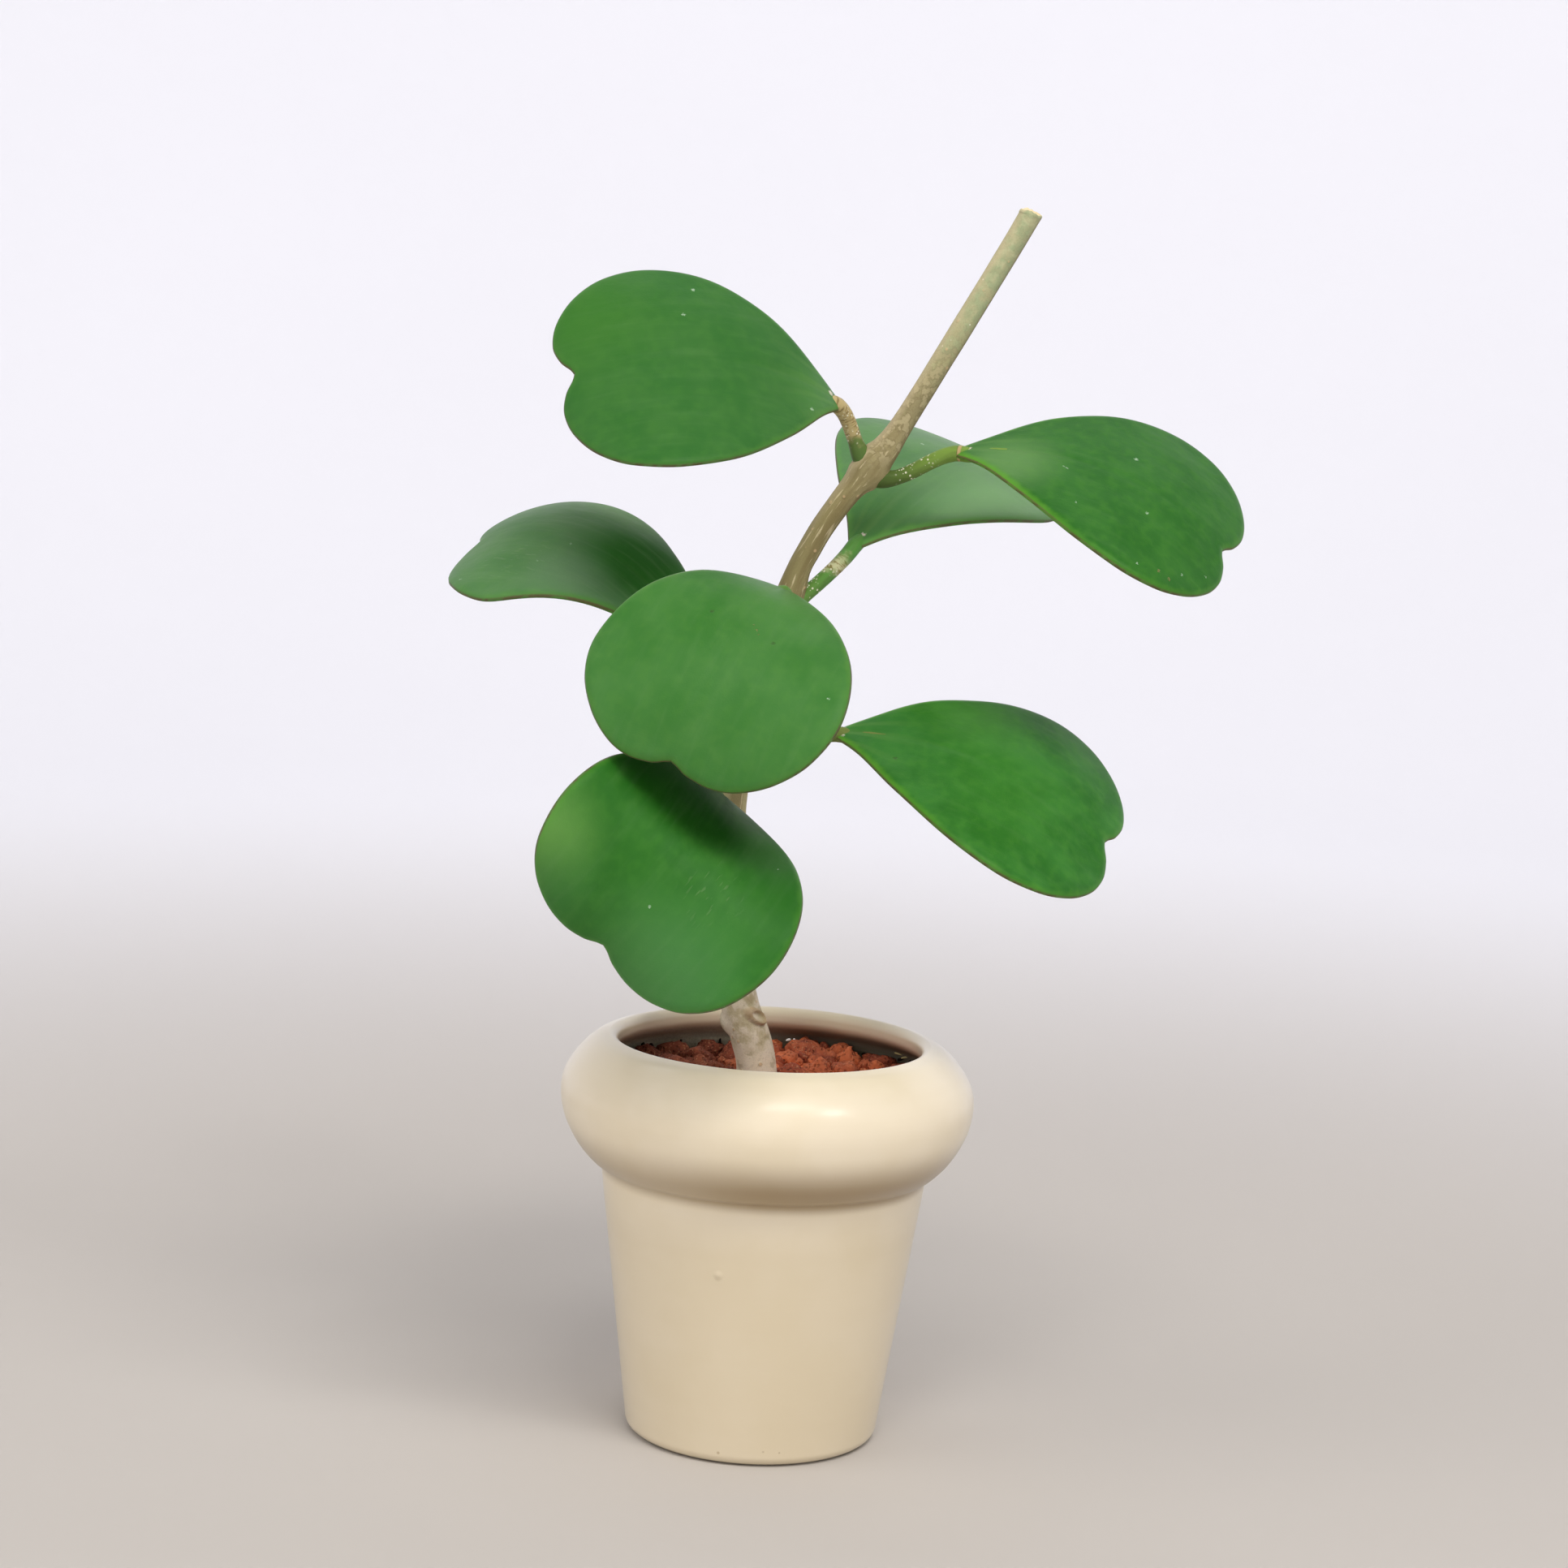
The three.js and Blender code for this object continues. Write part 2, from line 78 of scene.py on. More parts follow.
# %% Node and colour helpers
KINDS = {                           # our short name, Blender's node type, what we always set on it
    "place": ("ShaderNodeTexCoord", {}),
    "noise": ("ShaderNodeTexNoise", {}),
    "cells": ("ShaderNodeTexVoronoi", {}),
    "mapping": ("ShaderNodeMapping", {}),
    "stored": ("ShaderNodeAttribute", {}),
    "split": ("ShaderNodeSeparateXYZ", {}),
    "unite": ("ShaderNodeCombineXYZ", {}),
    "vector": ("ShaderNodeVectorMath", {}),
    "bump": ("ShaderNodeBump", {"Strength": 1.0, "Distance": 1.0}),
    "mix": ("ShaderNodeMix", {"data_type": "RGBA"}),        # share, colour at 0, colour at 1
    # value, start, end, result up to start, result from end (0 and 1 if they aren't given)
    "ease": ("ShaderNodeMapRange", {"interpolation_type": "SMOOTHSTEP"}),
    "random": ("FunctionNodeRandomValue", {"data_type": "FLOAT"}),
    "named": ("GeometryNodeInputNamedAttribute", {"data_type": "FLOAT"}),
    "store": ("GeometryNodeStoreNamedAttribute", {"data_type": "FLOAT"}),
}


def colour(code):
    channels = [int(code[k:k + 2], 16) / 255 for k in (1, 3, 5)]
    linear = [c / 12.92 if c <= 0.04045 else ((c + 0.055) / 1.055) ** 2.4 for c in channels]
    return (*linear, 1.0)


def fill(node, *values, **named):
    """Fills a node's inputs, in their order or by name. The first output in use is linked."""
    usable = [socket for socket in node.inputs if socket.enabled]
    pairs = list(zip(usable, values))
    for name, value in named.items():
        found = [socket for socket in node.inputs if socket.identifier == name]
        found += [socket for socket in usable if socket.name == name.replace("_", " ")]
        pairs.append((found[0], value))
    for socket, value in pairs:
        if isinstance(value, tuple) and isinstance(value[0], str):
            value = add(node.id_data, *value)
        if isinstance(value, bpy.types.Node):
            value = next(output for output in value.outputs if output.enabled)
        if isinstance(value, bpy.types.NodeSocket):
            node.id_data.links.new(value, socket)
        else:
            is_colour = socket.type == "RGBA" and isinstance(value, str)
            socket.default_value = colour(value) if is_colour else value


def add(tree, kind, *values, **more):
    """A new node. A kind in capitals is an operation of the Math node, such as MULTIPLY."""
    maths = ("ShaderNodeMath", {"operation": kind})
    blender_type, always = KINDS.get(kind, maths if kind.isupper() else (kind, {}))
    node = tree.nodes.new(blender_type)
    more = {**always, **more}
    for name in [name for name in more if name[0].islower()]:
        setattr(node, name, more.pop(name))
    fill(node, *values, **more)
    return node


def new_material(name, roughness, ior):
    material = bpy.data.materials.new(name)
    material.use_nodes = True
    tree = material.node_tree
    shader = tree.nodes["Principled BSDF"]
    fill(shader, Roughness=roughness, IOR=ior)
    return material, tree, shader


# %% [markdown]
# ## Camera
#
# The picture is square. The camera stands 0.89 m from the pot's foot, 18.5 degrees above it,
# looks down by 7 degrees, and is tilted by 3 degrees about its own line of sight. Its axes are
# written straight into the matrix, because that leaves no doubt about the order of turns.

# %% Camera
PICTURE = 1932                      # pixels on each side
FOCAL_PIXELS = 3971
SENSOR = 36.0
CAMERA_REACH = 888 * MM
CAMERA_CLIMB = math.radians(18.5)
CAMERA_DIP = math.radians(7.23)
CAMERA_TILT = math.radians(3.06)


def add_object(name, data):
    """A new object in the scene, at the origin."""
    thing = bpy.data.objects.new(name, data)
    bpy.context.scene.collection.objects.link(thing)
    return thing


forward = Vector((0, math.cos(CAMERA_DIP), -math.sin(CAMERA_DIP)))
level_right = Vector((1, 0, 0))
level_up = level_right.cross(forward)
right = math.cos(CAMERA_TILT) * level_right + math.sin(CAMERA_TILT) * level_up
upward = right.cross(forward)

camera_data = bpy.data.cameras.new("camera")
camera_data.sensor_width = SENSOR
camera_data.lens = FOCAL_PIXELS / PICTURE * SENSOR
camera_data.clip_start = 10 * MM
camera = add_object("camera", camera_data)
turn = Matrix((right, upward, -forward)).transposed().to_4x4()
spot = Vector((0, -math.cos(CAMERA_CLIMB), math.sin(CAMERA_CLIMB))) * CAMERA_REACH
camera.matrix_world = Matrix.Translation(spot) @ turn
bpy.context.scene.camera = camera
print("Lens:", round(camera_data.lens, 1), "mm")

# %% [markdown]
# ## Studio
#
# A round sweep of matt paper: a flat floor whose edge curves up into a wall, so no line shows
# behind the plant from any side. The paper is graded, as such studio papers often are: a soft
# grey round the pot and nearly white further out. A lathe makes it, as it makes the pot
# further down: a profile of radius and height pairs is turned about the vertical axis.

# %% Mesh helpers
def make_piece(name, points, faces, material=None, edges=()):
    """A smooth mesh object at the origin from points in millimetres."""
    mesh = bpy.data.meshes.new(name)
    mesh.from_pydata((np.asarray(points) * MM).tolist(), edges, faces)
    if material:
        mesh.materials.append(material)
    mesh.shade_smooth()
    mesh.update()
    return add_object(name, mesh)


def turned(profile, sides):
    """Points and faces of a lathe. A pair with radius 0 becomes one point on the axis."""
    angles = np.arange(sides) * 2 * math.pi / sides
    rings, points = [], []
    for radius, height in profile:
        start = len(points)
        if radius < 1e-6:
            points.append((0, 0, height))
            rings.append([start] * sides)
            continue
        points += [(radius * math.cos(a), radius * math.sin(a), height) for a in angles]
        rings.append(list(range(start, start + sides)))
    faces = []
    for low, high in zip(rings, rings[1:]):
        for k in range(sides):
            n = (k + 1) % sides
            corners = [low[k], low[n], high[n], high[k]]
            faces.append([c for i, c in enumerate(corners) if c not in corners[:i]])
    return points, [f for f in faces if len(f) > 2]


def flowing(rows, steps, ends="straight"):
    """Even steps along a smooth line (uniform Catmull-Rom) through rows of numbers."""
    rows = np.array(rows, float)
    first, last = rows[0], rows[-1]
    if ends == "straight":
        first, last = 2 * rows[0] - rows[1], 2 * rows[-1] - rows[-2]
    rows = np.vstack([first, rows, last])
    place = np.linspace(0, len(rows) - 3, steps)
    k = np.minimum(place.astype(int), len(rows) - 4)
    t = (place - k)[:, None]
    before, start, end, after = rows[k], rows[k + 1], rows[k + 2], rows[k + 3]
    leave, arrive = (end - before) / 2, (after - start) / 2
    shape = (2 * t**3 - 3 * t**2 + 1) * start + (t**3 - 2 * t**2 + t) * leave
    return shape + (3 * t**2 - 2 * t**3) * end + (t**3 - t**2) * arrive


# %% Paper sweep
FLOOR_REACH = 1300.0                # where the paper starts to curve up
SWEEP_RADIUS = 1000.0
WALL_HEIGHT = 2000.0
FLOOR_LEVEL = -0.2                  # a hair under the pot, so the two faces don't share a plane
SWEEP_SIDES = 96

paper, tree, shader = new_material("matt_graded_paper", roughness=0.95, ior=1.45)
place = add(tree, "place").outputs["Object"]
cloudy = add(tree, "noise", place, Scale=1.5, Detail=2.0)
near = add(tree, "mix", cloudy, "#BFB9B2", "#C3BDB6")
far = add(tree, "mix", cloudy, "#EDECEF", "#F2F1F4")
away = add(tree, "vector", place, operation="LENGTH")
tone = add(tree, "mix", ("ease", away, 0.25, 1.3), near, far)
fill(shader, Base_Color=tone)

sweep = [(0, FLOOR_LEVEL), (300, FLOOR_LEVEL), (FLOOR_REACH, FLOOR_LEVEL)]
for degrees in range(6, 91, 6):
    bend = math.radians(degrees)
    sweep.append((FLOOR_REACH + SWEEP_RADIUS * math.sin(bend),
                  FLOOR_LEVEL + SWEEP_RADIUS * (1 - math.cos(bend))))
sweep.append((FLOOR_REACH + SWEEP_RADIUS, WALL_HEIGHT))
studio = make_piece("paper_sweep", *turned(sweep, SWEEP_SIDES), paper)
studio.data.flip_normals()
studio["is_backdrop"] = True
print("Paper sweep:", len(studio.data.polygons), "faces")

# %% [markdown]
# ## Lamps
#
# Four wide lamps hang in front, one above the other, and light the plant softly. The lowest
# stands a little to the left and shines in under the leaves. A fill stands far round to the
# left, and a last lamp washes the wall from behind the plant.
#
# The glazed rim is a mirror for lamps. The lamps in front and the fill are therefore hidden
# from reflections, and two small ones are seen in the rim: a wide strip high up, and a lamp
# further round to the right. They hang where the rim's two highlights say they must.

# %% Lamps
RIM_FRONT = Vector((8, -48, 103)) * MM      # the place on the rim that mirrors the lamps


def hang_lamp(name, away, towards, width, height, watts, tint, mirrored=True):
    """A rectangular lamp that shines along towards. away is its place beside the rim."""
    data = bpy.data.lights.new(name, "AREA")
    data.shape = "RECTANGLE"
    data.size = width
    data.size_y = height
    data.energy = watts
    data.color = colour(tint)[:3]
    lamp = add_object(name, data)
    turn = Vector(towards).to_track_quat("-Z", "Y").to_matrix().to_4x4()
    lamp.matrix_world = Matrix.Translation(RIM_FRONT + Vector(away)) @ turn
    lamp.visible_camera = False
    lamp.visible_glossy = mirrored


# Heading in degrees to the right of the front, climb in degrees, distance, width and height in
# metres, watts, tint, and whether glossy things mirror the lamp.
for name, heading, climb, distance, width, height, watts, tint, mirrored in [
    ("high_key", 18, 62, 1.6, 0.7, 0.5, 8.6, "#FFFCF8", False),
    ("right_key", 34, 50, 1.6, 0.6, 0.5, 4.4, "#FFFCF8", False),
    ("low_front", 14, 30, 1.8, 0.8, 0.5, 2.8, "#FFFCF8", False),
    ("under_leaves", -22, 12, 1.7, 0.5, 0.14, 2.7, "#FFFCF8", False),
    ("overhead_strip", 14, 59, 1.5, 0.68, 0.17, 2.0, "#FFFFFF", True),
    ("small_lamp", 48, 47, 1.5, 0.26, 0.14, 1.7, "#FFFFFF", True),
    ("left_fill", -68, 38, 1.6, 0.9, 0.9, 5.5, "#FFFDFA", False),
]:
    h, c = math.radians(heading), math.radians(climb)
    way = Vector((math.sin(h) * math.cos(c), -math.cos(h) * math.cos(c), math.sin(c)))
    away = distance * way
    hang_lamp(name, away, -away, width, height, watts, tint, mirrored)
hang_lamp("wall_wash", (0, 0.75, 1.6), (0, 1.5, -1.1), 2.2, 0.7, 17.0, "#FAFAFF")

world = bpy.data.worlds.new("soft_room")
world.use_nodes = True
sky = world.node_tree.nodes["Background"]
fill(sky, Color="#F4F5FA", Strength=0.3)
bpy.context.scene.world = world
bpy.context.scene.view_settings.view_transform = "Standard"

# %% [markdown]
# ## Pot
#
# The pot is slip-cast earthenware with a satin cream glaze. Its wall leans out evenly from a
# rounded foot to a crease, and there the hollow rim swells out and curls in to a half-round
# lip. A lathe is the natural tool, since the real one was turned too. The glaze goes over the
# lip and stops just inside, where the bare clay looks grey.
#
# Three drain holes are cut through the floor with a Boolean, which is then made permanent.

# %% Pot mesh
POT_SIDES = 192
BASE_RADIUS, BASE_EDGE = 33.9, 3.0
CREASE_RADIUS, CREASE_HEIGHT = 43.5, 72.0
RIM_RADIUS, RIM_HEIGHT = 55.0, 91.5
CREST_RADIUS, POT_HEIGHT, LIP_RADIUS = 42.7, 106.8, 2.3
POT_FLOOR = 6.0
SHARP = math.radians(40)            # edges that turn by more than this look sharp
DRAIN_RADIUS, DRAIN_CIRCLE, DRAIN_COUNT = 3.0, 12.0, 3
CUTTER_LOW, CUTTER_HIGH, CUTTER_SIDES = -6, 14, 32
MOUTH_RADIUS = CREST_RADIUS - LIP_RADIUS

foot = [(0, 0), (12, 0), (24, 0)]
for degrees in range(-90, 1, 10):
    bend = math.radians(degrees)
    foot.append((BASE_RADIUS - BASE_EDGE * (1 - math.cos(bend)), BASE_EDGE * (1 + math.sin(bend))))
lean = (CREASE_RADIUS - BASE_RADIUS) / (CREASE_HEIGHT - BASE_EDGE)
wall = [(BASE_RADIUS + lean * rise, BASE_EDGE + rise) for rise in np.linspace(2, 66.5, 34)]
swell = flowing([
    (CREASE_RADIUS - 0.25, CREASE_HEIGHT - 1.6), (CREASE_RADIUS + 0.35, CREASE_HEIGHT + 0.2),
    (46.6, 73.9), (50.6, 78.5), (53.9, 85.0), (RIM_RADIUS, RIM_HEIGHT), (54.0, 96.6),
    (50.9, 101.4), (46.6, 105.4), (CREST_RADIUS, POT_HEIGHT),
], 64, ends="kept").tolist()
lip = []
for degrees in range(105, 180, 15):
    bend = math.radians(degrees)
    lip.append((CREST_RADIUS + LIP_RADIUS * math.cos(bend),
                POT_HEIGHT - LIP_RADIUS * (1 - math.sin(bend))))
inside = flowing([
    (MOUTH_RADIUS, POT_HEIGHT - LIP_RADIUS), (MOUTH_RADIUS + 0.3, POT_HEIGHT - 4.2),
    (42.7, 100.6), (46.4, 98.2), (49.0, 95.0), (50.2, 91.0), (49.0, 85.4), (45.6, 80.0),
    (41.4, 75.8), (39.0, 70.0),
], 44, ends="kept").tolist()
inside += [(29.6, 10.0), (28.0, 7.2), (24.5, POT_FLOOR), (12, POT_FLOOR), (0, POT_FLOOR)]

pot = make_piece("glazed_pot", *turned(foot + wall + swell + lip + inside, POT_SIDES))
drains = []
for k in range(DRAIN_COUNT):
    around = math.radians(90 + 360 / DRAIN_COUNT * k)
    points, faces = turned([(0, CUTTER_LOW), (DRAIN_RADIUS, CUTTER_LOW),
                            (DRAIN_RADIUS, CUTTER_HIGH), (0, CUTTER_HIGH)], CUTTER_SIDES)
    shift = (DRAIN_CIRCLE * math.cos(around), DRAIN_CIRCLE * math.sin(around), 0)
    drain = make_piece(f"drain_cutter_{k}", np.array(points) + shift, faces)
    drains.append(drain)
    cut = pot.modifiers.new(f"drain_{k}", "BOOLEAN")
    cut.operation = "DIFFERENCE"
    cut.solver = "EXACT"
    cut.object = drain


# %% Helpers for finished meshes
def settle(piece):
    """Makes a piece's modifiers permanent: its evaluated shape becomes its plain mesh."""
    evaluated = piece.evaluated_get(bpy.context.evaluated_depsgraph_get())
    mesh = bpy.data.meshes.new_from_object(evaluated)
    piece.modifiers.clear()
    old, piece.data = piece.data, mesh
    bpy.data.meshes.remove(old)
    mesh.name = piece.name


def attach(piece, name, values, kind="FLOAT"):
    """Stores one number (or one vector) for each vertex, which materials can read."""
    layer = piece.data.attributes.new(name, kind, "POINT")
    values = np.ascontiguousarray(values, np.float32).ravel()
    layer.data.foreach_set("value" if kind == "FLOAT" else "vector", values)


def places(piece):
    """The vertices of a piece in millimetres."""
    flat = np.zeros(len(piece.data.vertices) * 3, np.float32)
    piece.data.vertices.foreach_get("co", flat)
    return flat.reshape(-1, 3).astype(float) / MM


def move(piece, spots):
    """Puts the vertices of a piece at new places in millimetres."""
    piece.data.vertices.foreach_set("co", (spots * MM).astype(np.float32).ravel())
    piece.data.update()


def smooth_step(value, start, end):
    """0 up to start, 1 from end, smooth in between."""
    share = np.clip((value - start) / (end - start), 0, 1)
    return share * share * (3 - 2 * share)


# %% Cut the drain holes and mark the bare clay
settle(pot)
for drain in drains:
    bpy.data.objects.remove(drain)
pot.data.shade_smooth()
pot.data.set_sharp_from_angle(angle=SHARP)

# Bare clay: all that lies inside the lip, and the foot that stood on the kiln shelf.
GLAZE_END = 101.6                   # height inside the mouth where the glaze has thinned out
BARE_FOOT = (29.5, 31.5)            # radii under the pot between which the glaze begins
spots = places(pot)
radius, height = np.hypot(spots[:, 0], spots[:, 1]), spots[:, 2]
inner_line = np.array(inside)[::-1]
inner_radius = np.interp(height, inner_line[2:, 1], inner_line[2:, 0])
within = (radius < inner_radius + 0.4) & (height > POT_FLOOR - 0.1) & (height < POT_HEIGHT - 2)
bare = np.where(within, 1 - smooth_step(height, GLAZE_END - 1.2, GLAZE_END + 0.8), 0)
bare = np.maximum(bare, (height < 0.05) * (1 - smooth_step(radius, *BARE_FOOT)))
attach(pot, "bare_clay", bare)
print("Pot:", len(pot.data.vertices), "vertices")

# %% [markdown]
# ## Cream glaze
#
# A satin earthenware glaze: IOR 1.5, roughness about 0.3, with a thin, glassier layer on top
# that mirrors the lamps as two short streaks. It isn't quite even. Broad clouds shift its tone
# by a few per cent, the turning of the mould left faint rings, and the surface has a slight
# ripple 2 to 4 mm wide. The crease under the rim is painted deeper in tone as painted shade,
# and the wall below it is painted a little darker, as painted shade too. One small lump stands
# on the front, and a few dark iron specks lie near the foot.

# %% Glaze material
def near_spots(tree, where, marks, soft=0.5):
    """1 inside any of the round marks [(place, radius)], fading to 0 just outside."""
    total = None
    for middle, size in marks:
        away = add(tree, "vector", where, middle, operation="DISTANCE")
        mark = add(tree, "ease", away, size * (1 - soft), size * (1 + soft), 1.0, 0.0)
        total = mark if total is None else add(tree, "MAXIMUM", total, mark)
    return total


def at(x, y, z):
    return (x * MM, y * MM, z * MM)


LUMP = [(at(-10.1, -39.5, 52.3), 0.85 * MM)]
IRON_SPECKS = [(at(3.8, -33.6, 4.4), 0.35 * MM), (at(8.0, -32.9, 4.1), 0.3 * MM),
               (at(-7.8, -32.9, 3.2), 0.4 * MM), (at(31.5, -12.0, 9.0), 0.35 * MM),
               (at(10.6, 41.0, 104.8), 0.45 * MM), (at(-20.4, 30.2, 24.0), 0.4 * MM)]
TOP_LAYER = 0.5                     # how strong the glassy layer is

glaze, tree, shader = new_material("satin_cream_glaze", roughness=0.3, ior=1.5)
place = add(tree, "place").outputs["Object"]
clouds = add(tree, "noise", place, Scale=38.0, Detail=3.0)
rings_place = add(tree, "mapping", place, Scale=(6.0, 6.0, 210.0))
rings = add(tree, "noise", rings_place, Scale=1.0, Detail=3.0)
ripple = add(tree, "noise", place, Scale=330.0, Detail=2.0)
grit = add(tree, "noise", place, Scale=1600.0, Detail=3.0)
bare_clay = add(tree, "stored", attribute_name="bare_clay").outputs["Fac"]

cream = add(tree, "mix", ("ease", clouds, 0.35, 0.65), "#EADDC3", "#E5D7BA")
cream = add(tree, "mix", ("ease", rings, 0.4, 0.62, 0.0, 0.12), cream, "#DFCFAF")
cream = add(tree, "mix", near_spots(tree, place, IRON_SPECKS), cream, "#A38A68")
# Painted shade: the crease under the rim is painted deeper in tone, a little stronger on the
# right.
parted = add(tree, "split", place)
aside, rise = parted.outputs["X"], parted.outputs["Z"]
crease_painted_shade = add(tree, "MULTIPLY", ("ease", rise, 69 * MM, 72.5 * MM),
             ("ease", rise, 76 * MM, 87 * MM, 0.85, 0.0))
crease_painted_shade = add(tree, "MULTIPLY", crease_painted_shade, ("ease", aside, -38 * MM, 5 * MM, 0.6, 1.0))
cream = add(tree, "mix", crease_painted_shade, cream, "#92784F")
# Painted light and shade: the bare clay inside the mouth is painted pale, as light falls on the
# left of the inner wall, and darker towards the right, where the wall lies in shade.
clay = add(tree, "mix", ("ease", grit, 0.35, 0.7), "#D6D0B6", "#C0BA9E")
clay = add(tree, "mix", ("ease", aside, -15 * MM, 15 * MM), clay, "#716C54")
clay = add(tree, "mix", ("ease", rings, 0.45, 0.6, 0.0, 0.5), clay, "#989082")
# Painted shade: below the rim the wall is painted a little darker, fading out towards the crease.
cream = add(tree, "mix", ("ease", rise, 56 * MM, 70 * MM, 0.5, 0.0), cream, "#D4C5A6")
finish = add(tree, "mix", bare_clay, cream, clay)

sheen = add(tree, "ease", clouds, 0.3, 0.7, 0.29, 0.34)
rough = add(tree, "MULTIPLY_ADD", bare_clay, 0.55, sheen)
glassy = add(tree, "MULTIPLY_ADD", bare_clay, -TOP_LAYER, TOP_LAYER)
relief = add(tree, "MULTIPLY", ripple, 0.006 * MM)
relief = add(tree, "MULTIPLY_ADD", rings, 0.02 * MM, relief)
relief = add(tree, "MULTIPLY_ADD", near_spots(tree, place, LUMP, 0.9), 0.28 * MM, relief)
gritty = add(tree, "MULTIPLY", grit, bare_clay)
relief = add(tree, "MULTIPLY_ADD", gritty, 0.08 * MM, relief)
fill(shader, Base_Color=finish, Roughness=rough, Specular_IOR_Level=0.4, Coat_Weight=glassy,
     Coat_Roughness=0.2, Normal=add(tree, "bump", Height=relief))
pot.data.materials.clear()
pot.data.materials.append(glaze)
print("Glaze:", len(tree.nodes), "nodes")


# %% Hand the pot over to the frame
def keep(piece, slot, *nodes):
    """The piece rides on the plant and stands for CAD nodes, which it hides. slot is not used."""
    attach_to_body(piece, "root")
    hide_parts(*nodes)
    print(f"{piece.name}: {len(piece.data.vertices)} vertices for {', '.join(nodes)}")


keep(pot, "cream_glaze", "pot")

# %% [markdown]
# ## Potting mix
#
# Under the gravel the pot is full of peat and bark compost. Only the drain holes show it, so
# its CAD solid is kept, with a crumbly dark brown material in Object coordinates.

# %% Potting mix material
mix, tree, shader = new_material("crumbly_potting_mix", roughness=0.95, ior=1.4)
place = add(tree, "place").outputs["Object"]
crumbs = add(tree, "cells", place, Scale=420.0)
fibres = add(tree, "noise", place, Scale=900.0, Detail=4.0)
brown = add(tree, "mix", ("ease", crumbs, 0.1, 0.6), "#4A3526", "#22160F")
brown = add(tree, "mix", ("ease", fibres, 0.55, 0.75), brown, "#6F5238")
bumps = add(tree, "bump", Height=("MULTIPLY", crumbs, -1.2 * MM), Strength=0.8)
fill(shader, Base_Color=brown, Normal=bumps)
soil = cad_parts["soil"]
soil.data.materials.clear()
soil.data.materials.append(mix)
print("Potting mix on", soil.name)

# %% [markdown]
# ## Lava gravel
#
# The top dressing is crushed red lava, in lumps of 6 to 9 mm with smaller grains and crumbs
# between them. Each lump is a porous, broken lump of rock, so no two are alike. Grains that
# repeat over a surface are what Geometry Nodes are good at: points are spread over the bed at
# an even least distance, a ball stands on each, turned and scaled at random, and noise then
# dents every ball by its own place in space, so that they all come out different.

# %% Geometry Nodes helpers
def new_tree(name, inputs):
    """An empty tree with one geometry input, the named inputs, and one geometry output."""
    tree = bpy.data.node_groups.new(name, "GeometryNodeTree")
    face = tree.interface
    face.new_socket("Geometry", in_out="INPUT", socket_type="NodeSocketGeometry")
    for label, (kind, value) in inputs.items():
        socket = face.new_socket(label, in_out="INPUT", socket_type="NodeSocket" + kind)
        if value is not None:
            socket.default_value = value
    face.new_socket("Geometry", in_out="OUTPUT", socket_type="NodeSocketGeometry")
    return tree, tree.nodes.new("NodeGroupInput").outputs, tree.nodes.new("NodeGroupOutput")


def grow(piece, tree, values):
    """Runs a tree on a piece with the given inputs, and keeps the result as a plain mesh."""
    modifier = piece.modifiers.new(tree.name, "NODES")
    modifier.node_group = tree
    sockets = {s.name: s.identifier for s in tree.interface.items_tree if s.in_out == "INPUT"}
    for label, value in values.items():
        modifier[sockets[label]] = value
    settle(piece)


# %% Gravel tree
tree, given, result = new_tree("scatter_grains", {
    "Spacing": ("Float", 9 * MM), "Least radius": ("Float", 3.2 * MM),
    "Most radius": ("Float", 4.4 * MM), "Roundness": ("Int", 3), "Dent depth": ("Float", 1 * MM),
    "Dent size": ("Float", 3 * MM), "Lift": ("Float", 1 * MM), "Stem": ("Vector", (0, 0, 0)),
    "Stem clearance": ("Float", 8 * MM), "Seed": ("Int", 1), "Grain": ("Material", None)})
spot_now = add(tree, "GeometryNodeInputPosition")
from_stem = add(tree, "vector", spot_now, given["Stem"], operation="DISTANCE")
clear = add(tree, "FunctionNodeCompare", A=from_stem, B=given["Stem clearance"],
            operation="GREATER_THAN")
points = add(tree, "GeometryNodeDistributePointsOnFaces", Mesh=given["Geometry"], Selection=clear,
             Distance_Min=given["Spacing"], Density_Max=4.0e5, Seed=given["Seed"],
             distribute_method="POISSON")
ball = add(tree, "GeometryNodeMeshIcoSphere", Radius=1.0, Subdivisions=given["Roundness"])
size = add(tree, "random", Min_001=given["Least radius"], Max_001=given["Most radius"],
           Seed=given["Seed"])
stretch = add(tree, "random", Min=(0.8, 0.8, 0.62), Max=(1.2, 1.2, 0.95), Seed=given["Seed"],
              data_type="FLOAT_VECTOR")
scale = add(tree, "vector", stretch, size, operation="SCALE")
spin = add(tree, "random", Min=(-0.6, -0.6, 0.0), Max=(0.6, 0.6, 6.28), Seed=given["Seed"],
           data_type="FLOAT_VECTOR")
turn_by = add(tree, "FunctionNodeEulerToRotation", Euler=spin)
grains = add(tree, "GeometryNodeInstanceOnPoints", Points=points, Instance=ball,
             Rotation=turn_by, Scale=scale)
tint = add(tree, "random", Min_001=0.0, Max_001=1.0, Seed=given["Seed"])
tinted = add(tree, "store", Geometry=grains, Name="grain_tint", Value=tint, domain="INSTANCE")
loose = add(tree, "GeometryNodeRealizeInstances", Geometry=tinted)
pace = add(tree, "DIVIDE", 1.0, given["Dent size"])
dent = add(tree, "noise", spot_now, Scale=pace, Detail=2.0, Roughness=0.6)
middle = add(tree, "vector", dent.outputs["Color"], (0.5, 0.5, 0.5), operation="SUBTRACT")
shove = add(tree, "vector", middle, given["Dent depth"], operation="SCALE")
lift = add(tree, "unite", Z=given["Lift"])
shove = add(tree, "vector", shove, lift, operation="ADD")
pores = add(tree, "cells", spot_now, Scale=pace)
cleft = add(tree, "MULTIPLY", ("SUBTRACT", 0.45, pores), ("MULTIPLY", given["Dent depth"], 0.45))
